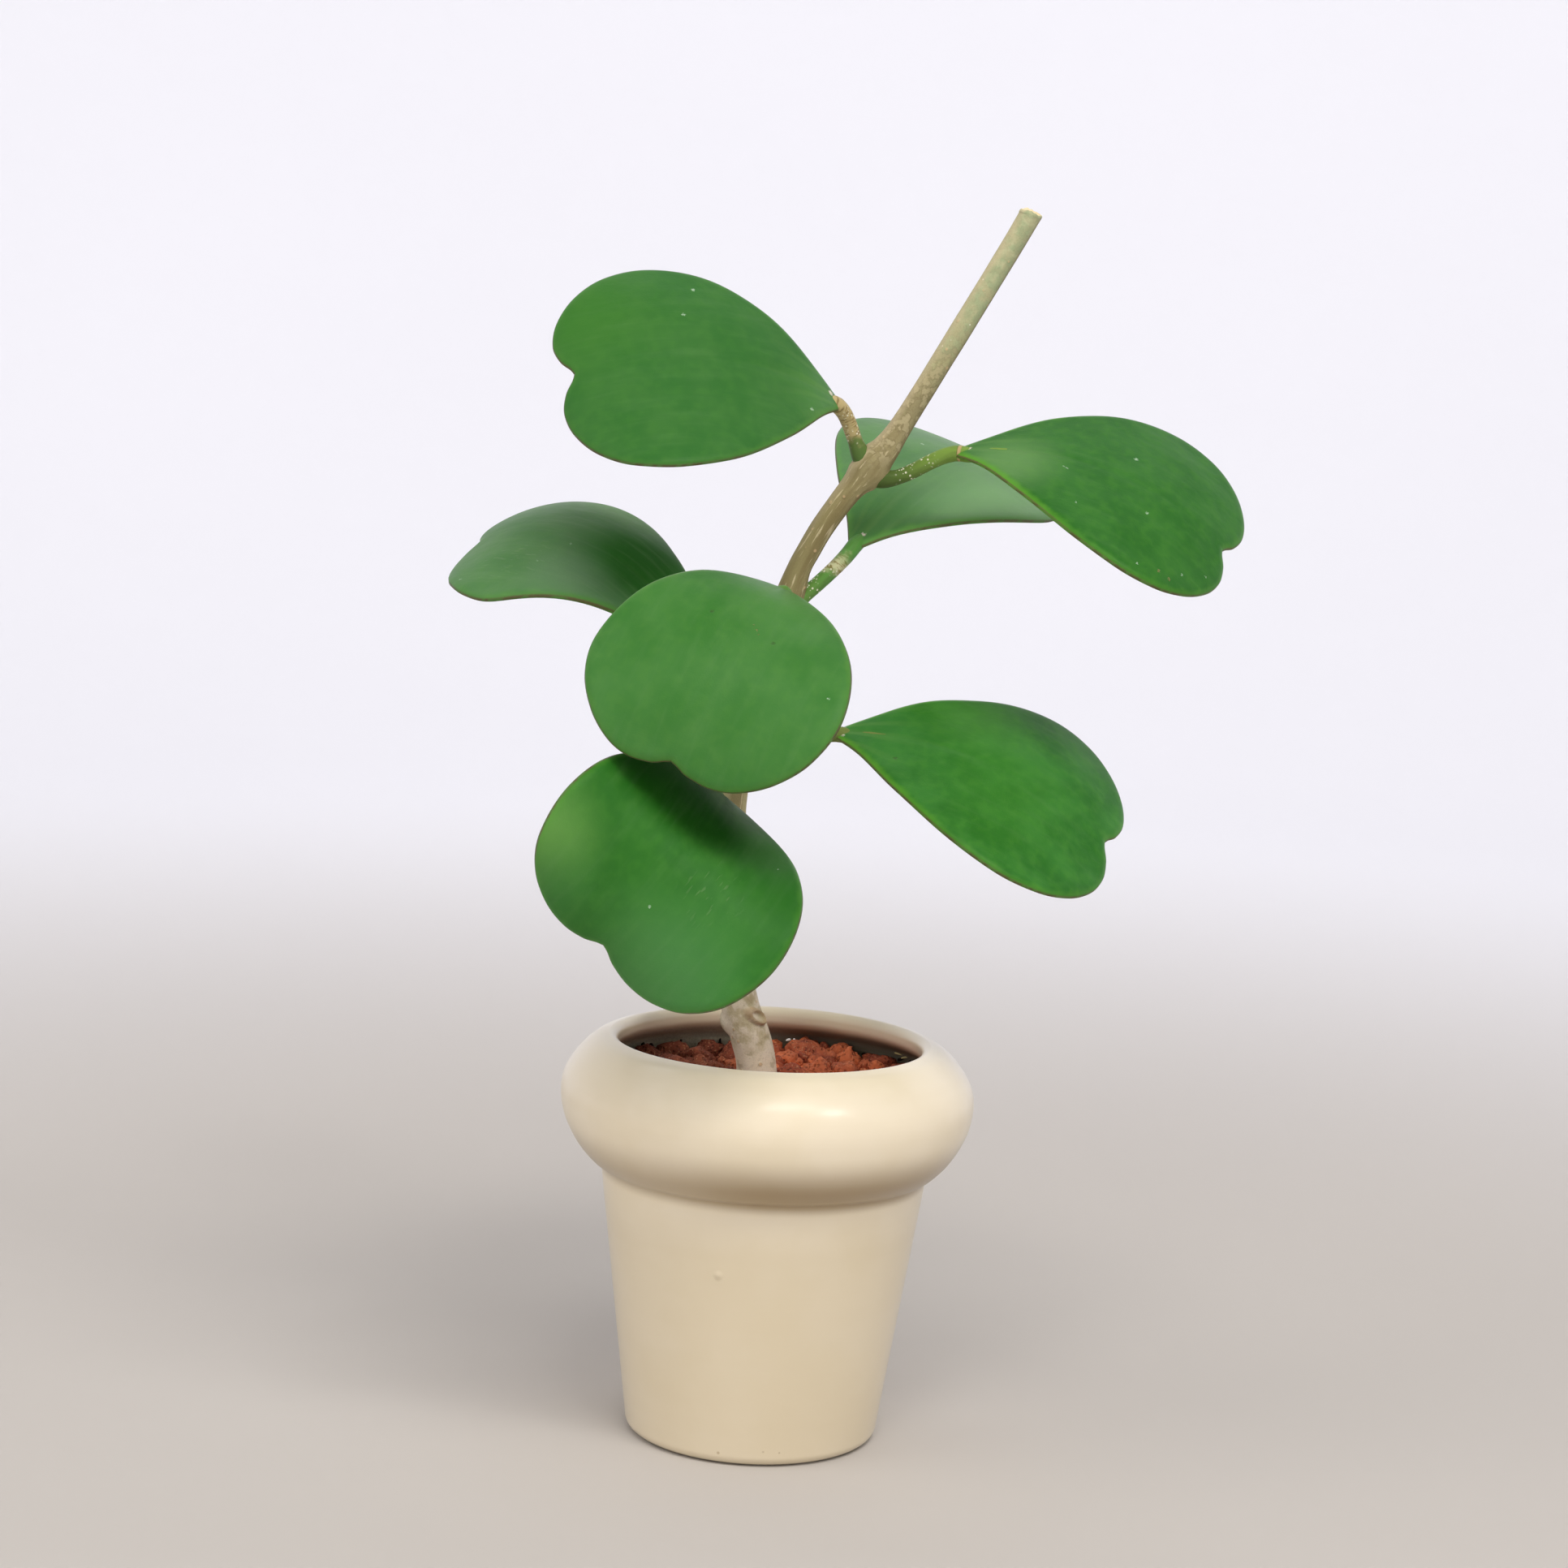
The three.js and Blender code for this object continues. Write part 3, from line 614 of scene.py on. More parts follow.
outwards = add(tree, "GeometryNodeInputNormal")
knobbly = add(tree, "vector", outwards, cleft, operation="SCALE")
shove = add(tree, "vector", shove, knobbly, operation="ADD")
dented = add(tree, "GeometryNodeSetPosition", Geometry=loose, Offset=shove)
worn = add(tree, "GeometryNodeSetMaterial", Geometry=dented, Material=given["Grain"])
fill(result, worn)
gravel_tree = tree
print("Gravel tree:", len(tree.nodes), "nodes")

# %% [markdown]
# The rock's colour runs from brick red where it is freshly broken to a dark brown crust. Its
# pores are about 1 mm wide. Two scales of noise bump the surface, and the darkest pits get a
# deeper colour, as light doesn't come out of them. On the left the gravel is painted darker, a
# painted shadow of the leaves that hang over it.

# %% Lava rock material
lava, tree, shader = new_material("crushed_lava_rock", roughness=0.92, ior=1.5)
place = add(tree, "place").outputs["Object"]
own = add(tree, "stored", attribute_name="grain_tint").outputs["Fac"]
patches = add(tree, "noise", place, Scale=260.0, Detail=4.0)
pores = add(tree, "cells", place, Scale=900.0)
dust = add(tree, "noise", place, Scale=1500.0, Detail=3.0)
shade = add(tree, "MULTIPLY_ADD", own, 0.5, ("MULTIPLY", patches, 0.8))
rock = add(tree, "mix", ("ease", shade, 0.35, 0.95), "#D9754A", "#93452F")
aside = add(tree, "split", place).outputs["X"]
# Painted shadow: the gravel on the left is painted dark brown, where the leaves shade it.
rock = add(tree, "mix", ("ease", aside, -16 * MM, 2 * MM, 0.6, 0.0), rock, "#5B3326")
rock = add(tree, "mix", ("ease", dust, 0.56, 0.7, 0.0, 0.4), rock, "#E2A67C")
pit = add(tree, "ease", pores, 0.1, 0.45, 1.0, 0.0)
rock = add(tree, "mix", ("MULTIPLY", pit, 0.4), rock, "#3A1A10")
deep = add(tree, "MULTIPLY_ADD", pit, -0.35 * MM, ("MULTIPLY", patches, 1.2 * MM))
deep = add(tree, "MULTIPLY_ADD", dust, 0.25 * MM, deep)
fill(shader, Base_Color=rock, Normal=add(tree, "bump", Height=deep))
print("Lava rock:", len(tree.nodes), "nodes")

# %% [markdown]
# The bed under the lumps is a shallow disc of dust and fine grains that fills the pot from
# wall to wall and is heaped up at the back. Lumps, grains and crumbs are grown on copies of
# it and joined to it, so the gravel is one piece.

# %% Gravel piece
BED_HEIGHT = 93.0
BED_UNDERSIDE = 92.4
BED_REACH = 48.3
HEAP = dict(x=12.0, y=34.0, height=2.8, spread=17.0)
BED_SIDES, BED_RINGS = 96, 34
STEM_FOOT = (-3.5, 0.0, 93.0)


def bed(name, reach, closed=False):
    """The bed's top face out to a radius, and its underside too if it is closed."""
    rows = [(0, BED_UNDERSIDE), (reach * 0.5, BED_UNDERSIDE), (reach, BED_UNDERSIDE)]
    rows = rows * closed
    rows += [(reach * k / BED_RINGS, BED_HEIGHT) for k in range(BED_RINGS, -1, -1)]
    spots, faces = turned(rows, BED_SIDES)
    spots = np.array(spots)
    x, y = spots[:, 0], spots[:, 1]
    apart = ((x - HEAP["x"]) ** 2 + (y - HEAP["y"]) ** 2) / HEAP["spread"] ** 2
    rise = HEAP["height"] * np.exp(-apart) + 0.35 * np.sin(x * 0.9) * np.sin(y * 1.1 + 1)
    spots[:, 2] += np.where(spots[:, 2] > BED_UNDERSIDE + 0.1, rise, 0)
    return make_piece(name, spots, faces, lava)


def join(pieces):
    """Joins mesh pieces into the first one."""
    whole = bmesh.new()
    whole.verts.layers.float.new("grain_tint")
    for piece in pieces:
        whole.from_mesh(piece.data)
    whole.to_mesh(pieces[0].data)
    whole.free()
    for piece in pieces[1:]:
        bpy.data.objects.remove(piece)
    return pieces[0]


# %% [markdown]
# A few small things lie on the gravel: white perlite, bits of dry straw, and crumbs of dark
# soil that cling to the wall. Each is a dented ball, drawn out to its own size.

# %% Bits on the gravel
def plain_material(name, code, roughness):
    material, tree, shader = new_material(name, roughness=roughness, ior=1.45)
    fill(shader, Base_Color=code)
    return material


dark_soil = plain_material("dark_soil_crumbs", "#241A12", 0.95)
perlite = plain_material("white_perlite", "#F1EFEA", 0.85)
straw = plain_material("dry_straw", "#D8C98F", 0.7)
SOIL, PERLITE, STRAW = 1, 2, 3      # their places in the gravel's row of materials
BIT_DENTS = 0.16                    # their depth as a share of the bit's size
BITS = [                            # place, half sizes, heading, climb, material
    ((-35.0, 32.5, 96.2), (1.3, 0.6, 0.8), 130, 40, SOIL),
    ((-33.0, 35.4, 95.0), (1.6, 0.8, 1.0), 140, 70, SOIL),
    ((-30.2, 36.5, 95.2), (0.8, 0.5, 0.6), 20, 0, SOIL),
    ((-25.0, 41.0, 96.0), (0.7, 0.3, 0.3), 20, 60, SOIL),
    ((-24.6, 41.8, 94.9), (0.9, 0.5, 0.6), 110, 20, SOIL),
    ((-14.1, 46.2, 95.2), (0.35, 0.3, 1.3), 0, 0, SOIL),
    ((-14.6, 46.4, 94.2), (1.2, 0.5, 0.7), 10, 30, SOIL),
    ((26.2, 40.4, 95.2), (0.7, 0.3, 0.4), 50, 0, SOIL),
    ((32.5, 34.6, 95.8), (1.6, 0.4, 0.5), 130, 10, SOIL),
    ((36.0, 31.0, 96.2), (1.4, 0.4, 0.4), 120, -20, SOIL),
    ((38.8, 26.4, 96.4), (1.2, 0.7, 0.7), 100, 0, SOIL),
    ((5.0, 37.0, 98.8), (0.85, 0.5, 0.3), 10, 15, PERLITE),
    ((6.6, 36.6, 99.1), (0.35, 0.3, 0.25), 60, 0, PERLITE),
    ((36.8, 29.6, 97.9), (2.8, 0.35, 0.28), 158, 4, STRAW),
    ((37.8, 28.4, 97.5), (1.7, 0.3, 0.25), 196, -8, STRAW),
]


def bit(index, place, half_sizes, heading, climb, kind):
    """A small dented ball, drawn out along a heading and a climb."""
    ball = bmesh.new()
    bmesh.ops.create_icosphere(ball, subdivisions=2, radius=1.0)
    phases = np.random.default_rng(index).uniform(0, 6.28, 3)
    turn = Matrix.Rotation(math.radians(heading), 3, "Z")
    turn = turn @ Matrix.Rotation(math.radians(-climb), 3, "Y")
    long, wide, tall = half_sizes
    spots = []
    for vertex in ball.verts:
        x, y, z = vertex.co
        waves = math.sin(4 * x + phases[0]) + math.sin(5 * y + phases[1])
        dent = 1 + BIT_DENTS * (waves + math.sin(4.5 * z + phases[2])) / 1.5
        spots.append(turn @ Vector((x * long, y * wide, z * tall)) * dent)
    faces = [[corner.index for corner in face.verts] for face in ball.faces]
    ball.free()
    piece = make_piece("bit", np.array(spots) + np.array(place), faces)
    piece.data.polygons.foreach_set("material_index", [kind] * len(faces))
    return piece


# %% Grow the gravel
GRAINS = [                          # measures in millimetres
    dict(name="lumps", reach=43.5, spacing=8.2, least=3.2, most=4.9, roundness=3,
         dent_depth=4.4, dent_size=4.2, lift=0.4, clearance=8.8, seed=4),
    dict(name="small_grains", reach=46, spacing=4.2, least=1.3, most=2.4, roundness=2,
         dent_depth=2.2, dent_size=1.8, lift=0.4, clearance=7.0, seed=9),
    dict(name="crumbs", reach=47, spacing=2.4, least=0.4, most=0.9, roundness=1,
         dent_depth=0.4, dent_size=1.0, lift=0.3, clearance=5.6, seed=2),
]
grown = []
for size in GRAINS:
    grains = bed(size["name"], size["reach"])
    grow(grains, gravel_tree, {
        "Stem": at(*STEM_FOOT), "Grain": lava, "Spacing": size["spacing"] * MM,
        "Least radius": size["least"] * MM, "Most radius": size["most"] * MM,
        "Roundness": size["roundness"], "Dent depth": size["dent_depth"] * MM,
        "Dent size": size["dent_size"] * MM, "Lift": size["lift"] * MM,
        "Stem clearance": size["clearance"] * MM, "Seed": size["seed"]})
    grains.data.polygons.foreach_set("material_index", [0] * len(grains.data.polygons))
    grown.append(grains)
bits = [bit(index, *row) for index, row in enumerate(BITS)]
gravel = join([bed("gravel_and_bed", BED_REACH, closed=True), *reversed(grown), *bits])
for extra in (dark_soil, perlite, straw):
    gravel.data.materials.append(extra)
gravel.data.shade_smooth()
print("Gravel:", len(gravel.data.polygons), "faces")
keep(gravel, "lava_rock", "lava_gravel")

# %% [markdown]
# ## Rods along a path
#
# The stem and the seven leaf stalks are all rods of changing thickness that follow a line, so
# one Geometry Nodes tree makes them all. A piece starts as a chain of points that carry their
# thickness and their distance from the start. The tree turns the chain into a curve, sweeps a
# circle along it, and pushes the skin in and out by noise that is stretched lengthwise, which
# gives the fine ridges of bark. It also stores each point's place on the unrolled skin, so a
# material can follow the rod round its bends.

# %% Rod tree
tree, given, result = new_tree("rod_along_path", {
    "Sides": ("Int", 48), "Ridge depth": ("Float", 0.2 * MM), "Ridge width": ("Float", 1.5 * MM),
    "Ridge length": ("Float", 12 * MM), "Skin": ("Material", None)})
path = add(tree, "GeometryNodeMeshToCurve", Mesh=given["Geometry"])
thick = add(tree, "named", Name="thick")
along = add(tree, "named", Name="along")
circle = add(tree, "GeometryNodeCurvePrimitiveCircle", Resolution=given["Sides"], Radius=1.0)
round_share = add(tree, "GeometryNodeSplineParameter")
circle = add(tree, "store", Geometry=circle, Name="around", Value=round_share)
tube = add(tree, "GeometryNodeCurveToMesh", Curve=path, Profile_Curve=circle, Scale=thick,
           Fill_Caps=True)
around = add(tree, "named", Name="around")
angle = add(tree, "MULTIPLY", around, 2 * math.pi)
wide = add(tree, "MULTIPLY", ("COSINE", angle), thick)
deep = add(tree, "MULTIPLY", ("SINE", angle), thick)
skin_place = add(tree, "unite", wide, deep, along)
marked = add(tree, "store", Geometry=tube, Name="skin_place", Value=skin_place,
             data_type="FLOAT_VECTOR")
fine = add(tree, "DIVIDE", 1.0, given["Ridge width"])
coarse = add(tree, "DIVIDE", 1.0, given["Ridge length"])
pace = add(tree, "unite", fine, fine, coarse)
drawn = add(tree, "vector", skin_place, pace, operation="MULTIPLY")
bark_noise = add(tree, "noise", drawn, Scale=1.0, Detail=3.0)
height = add(tree, "MULTIPLY", ("SUBTRACT", bark_noise, 0.5), given["Ridge depth"])
outwards = add(tree, "GeometryNodeInputNormal")
push = add(tree, "vector", outwards, height, operation="SCALE")
ridged = add(tree, "GeometryNodeSetPosition", Geometry=marked, Offset=push)
whole = add(tree, "GeometryNodeRealizeInstances", Geometry=ridged)
clad = add(tree, "GeometryNodeSetMaterial", Geometry=whole, Material=given["Skin"])
fill(result, clad)
rod_tree = tree
print("Rod tree:", len(tree.nodes), "nodes")


# %% Rods from points and radii
def rod(name, spots, radii, skin, sides, depth, width, length):
    """A rod through points in millimetres, with its ridges' depth, width and length."""
    spots, radii = np.asarray(spots, float), np.asarray(radii, float)
    links = [(k, k + 1) for k in range(len(spots) - 1)]
    piece = make_piece(name, spots, [], edges=links)
    steps = np.linalg.norm(np.diff(spots, axis=0), axis=1)
    attach(piece, "along", np.concatenate([[0], np.cumsum(steps)]) * MM)
    attach(piece, "thick", radii * MM)
    grow(piece, rod_tree, {"Sides": sides, "Ridge depth": depth * MM, "Ridge width": width * MM,
                           "Ridge length": length * MM, "Skin": skin})
    faces = piece.data.polygons
    faces.foreach_set("use_smooth", [face.loop_total < 6 for face in faces])
    return piece


def direction(heading, climb):
    """A unit vector: heading 0 is +X and 90 is +Y, and climb is above the level."""
    h, c = math.radians(heading), math.radians(climb)
    return np.array([math.cos(h) * math.cos(c), math.sin(h) * math.cos(c), math.sin(c)])


def swell_out(piece, centre, facing, profile, wide=1.0, tall=1.0, fall=0.0):
    """Pushes the skin out round an axis. profile is [(distance from the axis, push)]. The
    round form may be stretched, and made to fall by a share of its width to the right."""
    spots = places(piece)
    ahead = (spots - centre) @ facing
    right_way = np.cross((0, 0, 1), facing)
    beside = (spots - centre) @ right_way
    above = (spots - centre - np.outer(ahead, facing))[:, 2] + fall * beside
    apart = np.hypot(beside / wide, above / tall)
    distances, pushes = zip(*profile)
    push = np.interp(apart, distances, pushes) * (ahead > 0)
    move(piece, spots + np.outer(push, facing))
    return np.where(ahead > 0, apart, 99.0)


# %% [markdown]
# ## Stem bark
#
# The stem is woody at the foot and still half green at the top. At the foot the bark is a pale
# grey-brown with chalky patches. Further up it turns olive brown with pale lengthwise cracks
# 0.5 mm wide, and above the topmost leaves it is a dull green with blotches and a few white
# flecks. The cut end shows fresh, cream wood.

# %% Bark material
# The pale stop at 168 mm is painted light: it lightens the stem between leaves 5 and 7, where they
# shade it.
BARK_TINTS = [                      # height in mm, colour
    (94, "#E2D8C2"), (101, "#D8CCB3"), (107, "#B6A98A"), (128, "#A19270"), (148, "#958862"),
    (168, "#B0A67A"), (190, "#8F845C"), (225, "#8D8358"), (246, "#8A7F55"), (254, "#988D62"),
    (262, "#998E65"), (275, "#8E845F"), (287, "#A39B72"), (300, "#B4AF86"), (322, "#BAB58E"),
]
bark, tree, shader = new_material("hoya_stem_bark", roughness=0.72, ior=1.45)
place = add(tree, "place").outputs["Object"]
height = add(tree, "split", place).outputs["Z"]
tone = BARK_TINTS[0][1]
for (low, _), (high, code) in zip(BARK_TINTS, BARK_TINTS[1:]):
    tone = add(tree, "mix", ("ease", height, low * MM, high * MM), tone, code)

skin = add(tree, "stored", attribute_name="skin_place").outputs["Vector"]
stretched = add(tree, "mapping", skin, Scale=(1.0, 1.0, 0.08))
cracks = add(tree, "noise", stretched, Scale=1500.0, Detail=3.0)
bands = add(tree, "noise", stretched, Scale=420.0, Detail=2.0)
blotches = add(tree, "noise", skin, Scale=330.0, Detail=3.0)
freckles = add(tree, "noise", skin, Scale=470.0, Detail=3.0)
grain = add(tree, "noise", skin, Scale=2600.0, Detail=2.0)
flecks = add(tree, "cells", skin, Scale=330.0)
lenticels = add(tree, "cells", skin, Scale=260.0)
face = add(tree, "ShaderNodeNewGeometry").outputs["Normal"]
# Painted light and shade: how far each part of the skin faces up and to the left.
painted_light_facing = add(tree, "vector", face, (-0.85, 0.0, 0.5), operation="DOT_PRODUCT")

# Where on the stem each kind of mark lies.
foot = add(tree, "ease", height, 115 * MM, 135 * MM, 1.0, 0.0)
middle = add(tree, "MULTIPLY", ("ease", height, 118 * MM, 140 * MM),
             ("ease", height, 262 * MM, 275 * MM, 1.0, 0.0))
high = add(tree, "ease", height, 225 * MM, 270 * MM)
patched = add(tree, "MULTIPLY", ("ease", height, 257 * MM, 264 * MM),
              ("ease", height, 278 * MM, 300 * MM, 1.0, 0.25))
upper = add(tree, "ease", height, 278 * MM, 300 * MM)

# The marks, one over the other: a pattern, the two values between which it sets in, the share
# of its colour below and above them, where it lies (None is everywhere), and its colour.
for pattern, start, full, below, above, where, code in [
    (bands, 0.42, 0.66, 0.0, 0.6, middle, "#75663F"),
    (cracks, 0.58, 0.68, 0.0, 0.65, middle, "#D2C39D"),
    (blotches, 0.38, 0.58, 0.3, 0.85, upper, "#96A27A"),
    (freckles, 0.45, 0.51, 0.0, 0.5, patched, "#746746"),       # dark rings round the lichen
    (freckles, 0.50, 0.58, 0.0, 0.6, patched, "#B9AD85"),       # pale lichen
    (blotches, 0.4, 0.62, 0.0, 0.75, foot, "#D9CDB8"),
    (blotches, 0.3, 0.42, 0.4, 0.0, foot, "#857752"),
    (lenticels, 0.09, 0.15, 0.6, 0.0, None, "#C9A97F"),
    (flecks, 0.05, 0.09, 0.8, 0.0, upper, "#E9E6CF"),
    (painted_light_facing, 0.3, 0.85, 0.0, 0.5, high, "#C6B590"),              # painted light: the side facing up and left is painted beige
    (painted_light_facing, -0.97, -0.8, 0.6, 0.0, high, "#7C6748"),            # painted shade: a thin brown line on the lower side
    (grain, 0.45, 0.75, 0.0, 0.2, None, "#6E5F45"),
]:
    share = add(tree, "ease", pattern, start, full, below, above)
    if where:
        share = add(tree, "MULTIPLY", share, where)
    tone = add(tree, "mix", share, tone, code)

# The old leaf scar is a ring with a tan rim. Its share is stored on the mesh, further down.
ring = add(tree, "stored", attribute_name="leaf_scar").outputs["Fac"]
tone = add(tree, "mix", ring, tone, "#A58A66")
fresh_cut = add(tree, "stored", attribute_name="fresh_cut").outputs["Fac"]
wood = add(tree, "mix", ("ease", grain, 0.4, 0.7), "#EBD9AE", "#D9BE86")
tone = add(tree, "mix", fresh_cut, tone, wood)

relief = add(tree, "MULTIPLY", ("MULTIPLY", cracks, middle), 0.16 * MM)
for pattern, depth in [(grain, 0.06), (blotches, 0.25),
                       (("ease", lenticels, 0.09, 0.2, 1.0, 0.0), 0.12)]:
    relief = add(tree, "MULTIPLY_ADD", pattern, depth * MM, relief)
fill(shader, Base_Color=tone, Normal=add(tree, "bump", Height=relief))
print("Bark:", len(tree.nodes), "nodes")

# %% [markdown]
# ## Stem
#
# The stem is measured as a row of heights, each with its distance from the pot's axis and its
# radius. It thickens wherever a pair of leaves stands or stood, and one smooth line through
# the row gives its zigzag. Near the foot a leaf dropped long ago and left a ring-shaped scar,
# with a healed knob opposite. At each node the bark makes a low collar round the stalk. These
# are pushed out of the finished mesh, because they sit on the skin, not on the path.

# %% Stem measures
STEM = [                            # x, z, radius
    [-2.2, 62, 4.4], [-2.8, 78, 5.0], [-2.8, 90, 5.6], [-3.5, 100, 5.3], [-5.6, 107.5, 5.3],
    [-8.5, 115, 5.1], [-10.9, 128, 4.5], [-12.7, 148, 4.1], [-13.3, 160, 4.5], [-13.5, 168, 3.9],
    [-12.6, 182, 4.2], [-10.4, 192, 3.6], [-6.6, 206, 3.35], [-2.4, 221, 3.8], [0.6, 231, 3.15],
    [3.3, 236.8, 3.1], [6.8, 243.4, 3.1], [12.6, 252.2, 3.3], [18.0, 258.9, 4.2],
    [21.8, 264.2, 3.7], [26.1, 271.3, 2.95], [35.6, 288.6, 2.85], [48.6, 312.6, 2.85],
    [54.6, 324.0, 2.9], [56.2, 327.3, 3.05],
]

# %% [markdown]
# ## Leaf measures
#
# Each leaf is written down as it grew: where its blade begins, which way it heads, how far it
# climbs and leans over, its length and width, and how it bends. `arch` and `droop` roll it
# back along its length, `cup` curls its left and right halves, and `twist` turns its tip. Then
# come how uneven its halves are, how wavy their edges, and how much deeper or shallower its
# notch is than the others'. `node` and `out` say where and which way the stalk leaves the stem.

# %% Leaf measures
STALK_RADIUS = 2.1
GAP = 0.3                           # the frame's clearance between touching pieces
LEAVES = {
    1: dict(base=(8, -8.5, 275), heading=232, climb=24, bank=58, length=75.5, width=67,
            arch=65, droop=7, cup=(2, -17), twist=-3, lean=0.01, wave=(-1.5, 2), notch=-0.008,
            node=258.5, out=(203, 50)),
    2: dict(base=(41, 0, 264), heading=337, climb=9, bank=-28, length=75, width=67,
            arch=54, droop=7, cup=(-12, -7), twist=6, lean=0.03, wave=(1, -0.5),
            node=257.6, out=(0, -30)),
    3: dict(base=(15.5, 9, 238.5), heading=47, climb=44, bank=-24, length=75, width=66.5,
            arch=55, droop=0, cup=(-8, -13), twist=3, lean=0, wave=(0, 1),
            node=219, out=(25, 44)),
    4: dict(base=(-23.5, -11, 207), heading=184, climb=62, bank=33, length=76.5, width=67,
            arch=67, droop=27, cup=(0, -29), twist=-13, lean=0, wave=(3.5, 0),
            node=184, out=(225, 40)),
    5: dict(base=(-3, -19, 226.5), heading=260, climb=10, bank=18, length=75.0, width=67,
            arch=86, droop=9, cup=(6, -16), twist=-3, lean=0.04, wave=(0, 4.5), notch=0.014,
            node=221, out=(268, 20)),
    6: dict(base=(14, -5, 189.5), heading=333, climb=6, bank=-36, length=77, width=66.5,
            arch=56, droop=6, cup=(-27, 2), twist=0, lean=0.01, wave=(0, 0),
            node=182, out=(350, 12)),
    7: dict(base=(-17, -23.7, 173.5), heading=281, climb=12, bank=40, length=76, width=68,
            arch=82, droop=52, cup=(19, 7), twist=1, lean=0.04, wave=(1, -2.5),
            node=160, out=(262, 35)),
}

# %% Stem mesh
STEM_RINGS = 620
STEM_SIDES = 64
CUT_ROOM, CUT_TRIM = 0.7, 0.45      # the stem's last bit makes room for the cut's round edge
stem_rows = flowing(STEM, STEM_RINGS)
shoulder = [(0.12, 0.985), (0.3, 0.93), (0.42, 0.86)]       # that edge: rise, share of the radius
end, before = stem_rows[-1], stem_rows[-2]
tip = (end - before)[:2] / np.linalg.norm((end - before)[:2])
stem_rows = stem_rows[stem_rows[:, 1] < end[1] - CUT_ROOM]
stem_rows = np.vstack([stem_rows, [[*(end[:2] - tip * (CUT_TRIM - rise)), end[2] * share]
                                   for rise, share in shoulder]])
stem_path = np.column_stack([stem_rows[:, 0], np.zeros(len(stem_rows)), stem_rows[:, 1]])
stem = rod("hoya_stem", stem_path, stem_rows[:, 2], bark, STEM_SIDES,
           depth=0.22, width=2.6, length=16)


def stem_at(height):
    """The stem's middle and radius at a height."""
    x = np.interp(height, stem_rows[:, 1], stem_rows[:, 0])
    return np.array([x, 0, height]), np.interp(height, stem_rows[:, 1], stem_rows[:, 2])


SCAR_HEIGHT, SCAR_HEADING = 113.3, -43
KNOB_HEIGHT, KNOB_HEADING = 110.0, 182
scar_ring = [(0, 0.1), (0.9, 0.15), (1.4, 0.7), (1.8, 1.35), (2.3, 1.4), (2.75, 0.6), (3.1, -0.2),
             (3.7, 0)]
knob_dome = [(0, 1.15), (1.1, 1.05), (2.0, 0.7), (2.8, 0.25), (3.4, -0.1), (4.2, 0)]
from_scar = swell_out(stem, stem_at(SCAR_HEIGHT)[0], direction(SCAR_HEADING, 0), scar_ring,
                      wide=1.15, tall=0.75, fall=0.35)
on_ring = smooth_step(from_scar, 1.2, 1.8) * (1 - smooth_step(from_scar, 2.5, 3.3))
attach(stem, "leaf_scar", 0.7 * on_ring)
swell_out(stem, stem_at(KNOB_HEIGHT)[0], direction(KNOB_HEADING, 0), knob_dome)
collar = [(0, 0.7), (2.3, 0.7), (2.8, 0.45), (3.6, 0.12), (4.6, 0)]
for leaf in LEAVES.values():
    swell_out(stem, stem_at(leaf["node"])[0], direction(*leaf["out"]), collar)
print("Stem:", len(stem.data.vertices), "vertices")


# %% Cut end of the stem
def open_cut(piece):
    """Gives the flat top of the stem a rim, a dished face and the fresh_cut attribute."""
    shape = bmesh.new()
    shape.from_mesh(piece.data)
    fresh = shape.verts.layers.float.new("fresh_cut")
    caps = [face for face in shape.faces if len(face.verts) > 20]
    cap = max(caps, key=lambda face: face.calc_center_median().z)
    for vertex in cap.verts:
        vertex[fresh] = 0.7
    for inwards, down in ((0.3, -0.05), (0.5, -0.12), (0.8, 0.02)):
        bmesh.ops.inset_individual(shape, faces=[cap], thickness=inwards * MM, depth=down * MM)
        for vertex in cap.verts:
            vertex[fresh] = 1.0
    middle = bmesh.ops.poke(shape, faces=[cap])["verts"]
    for vertex in middle:
        vertex[fresh] = 1.0
    shape.to_mesh(piece.data)
    shape.free()


open_cut(stem)
# The knife went through at a slant: the cut is a little lower at the front and on the left,
# and not quite flat.
CUT_SLANT = 0.17
CUT_LOWER = 0.4
CUT_DEPTH = 2.5                     # how far down the stem the slant fades out
CORNER_DROP = 1.0                   # how much lower the torn corner on the left is
spots = places(stem)
below_end = (end[:2] - spots[:, [0, 2]]) @ tip
near_cut = 1 - smooth_step(below_end, 0.6, CUT_DEPTH)
jagged = 0.10 * np.sin(4.1 * spots[:, 1] + 1) + 0.08 * np.sin(5.3 * spots[:, 0])
to_left = (spots[:, 2] - end[1]) * tip[0] - (spots[:, 0] - end[0]) * tip[1]
corner = CORNER_DROP * smooth_step(to_left, 0.9, 3.0)
shift = near_cut * (CUT_SLANT * spots[:, 1] - CUT_LOWER + jagged - corner)
move(stem, spots + np.outer(shift, (tip[0], 0, tip[1])))
keep(stem, "stem_bark", "stem")

# %% [markdown]
# ## How a blade bends
#
# Every blade is drawn flat first: distance a runs from the stalk to the notch, b to the left.
# The flat heart is then rolled backwards along its length, cupped across its width and twisted
# towards the tip, with the leaf's own measures. Because the flat place of every point is kept
# as an attribute, veins and spots can be placed with a ruler on the flat leaf.


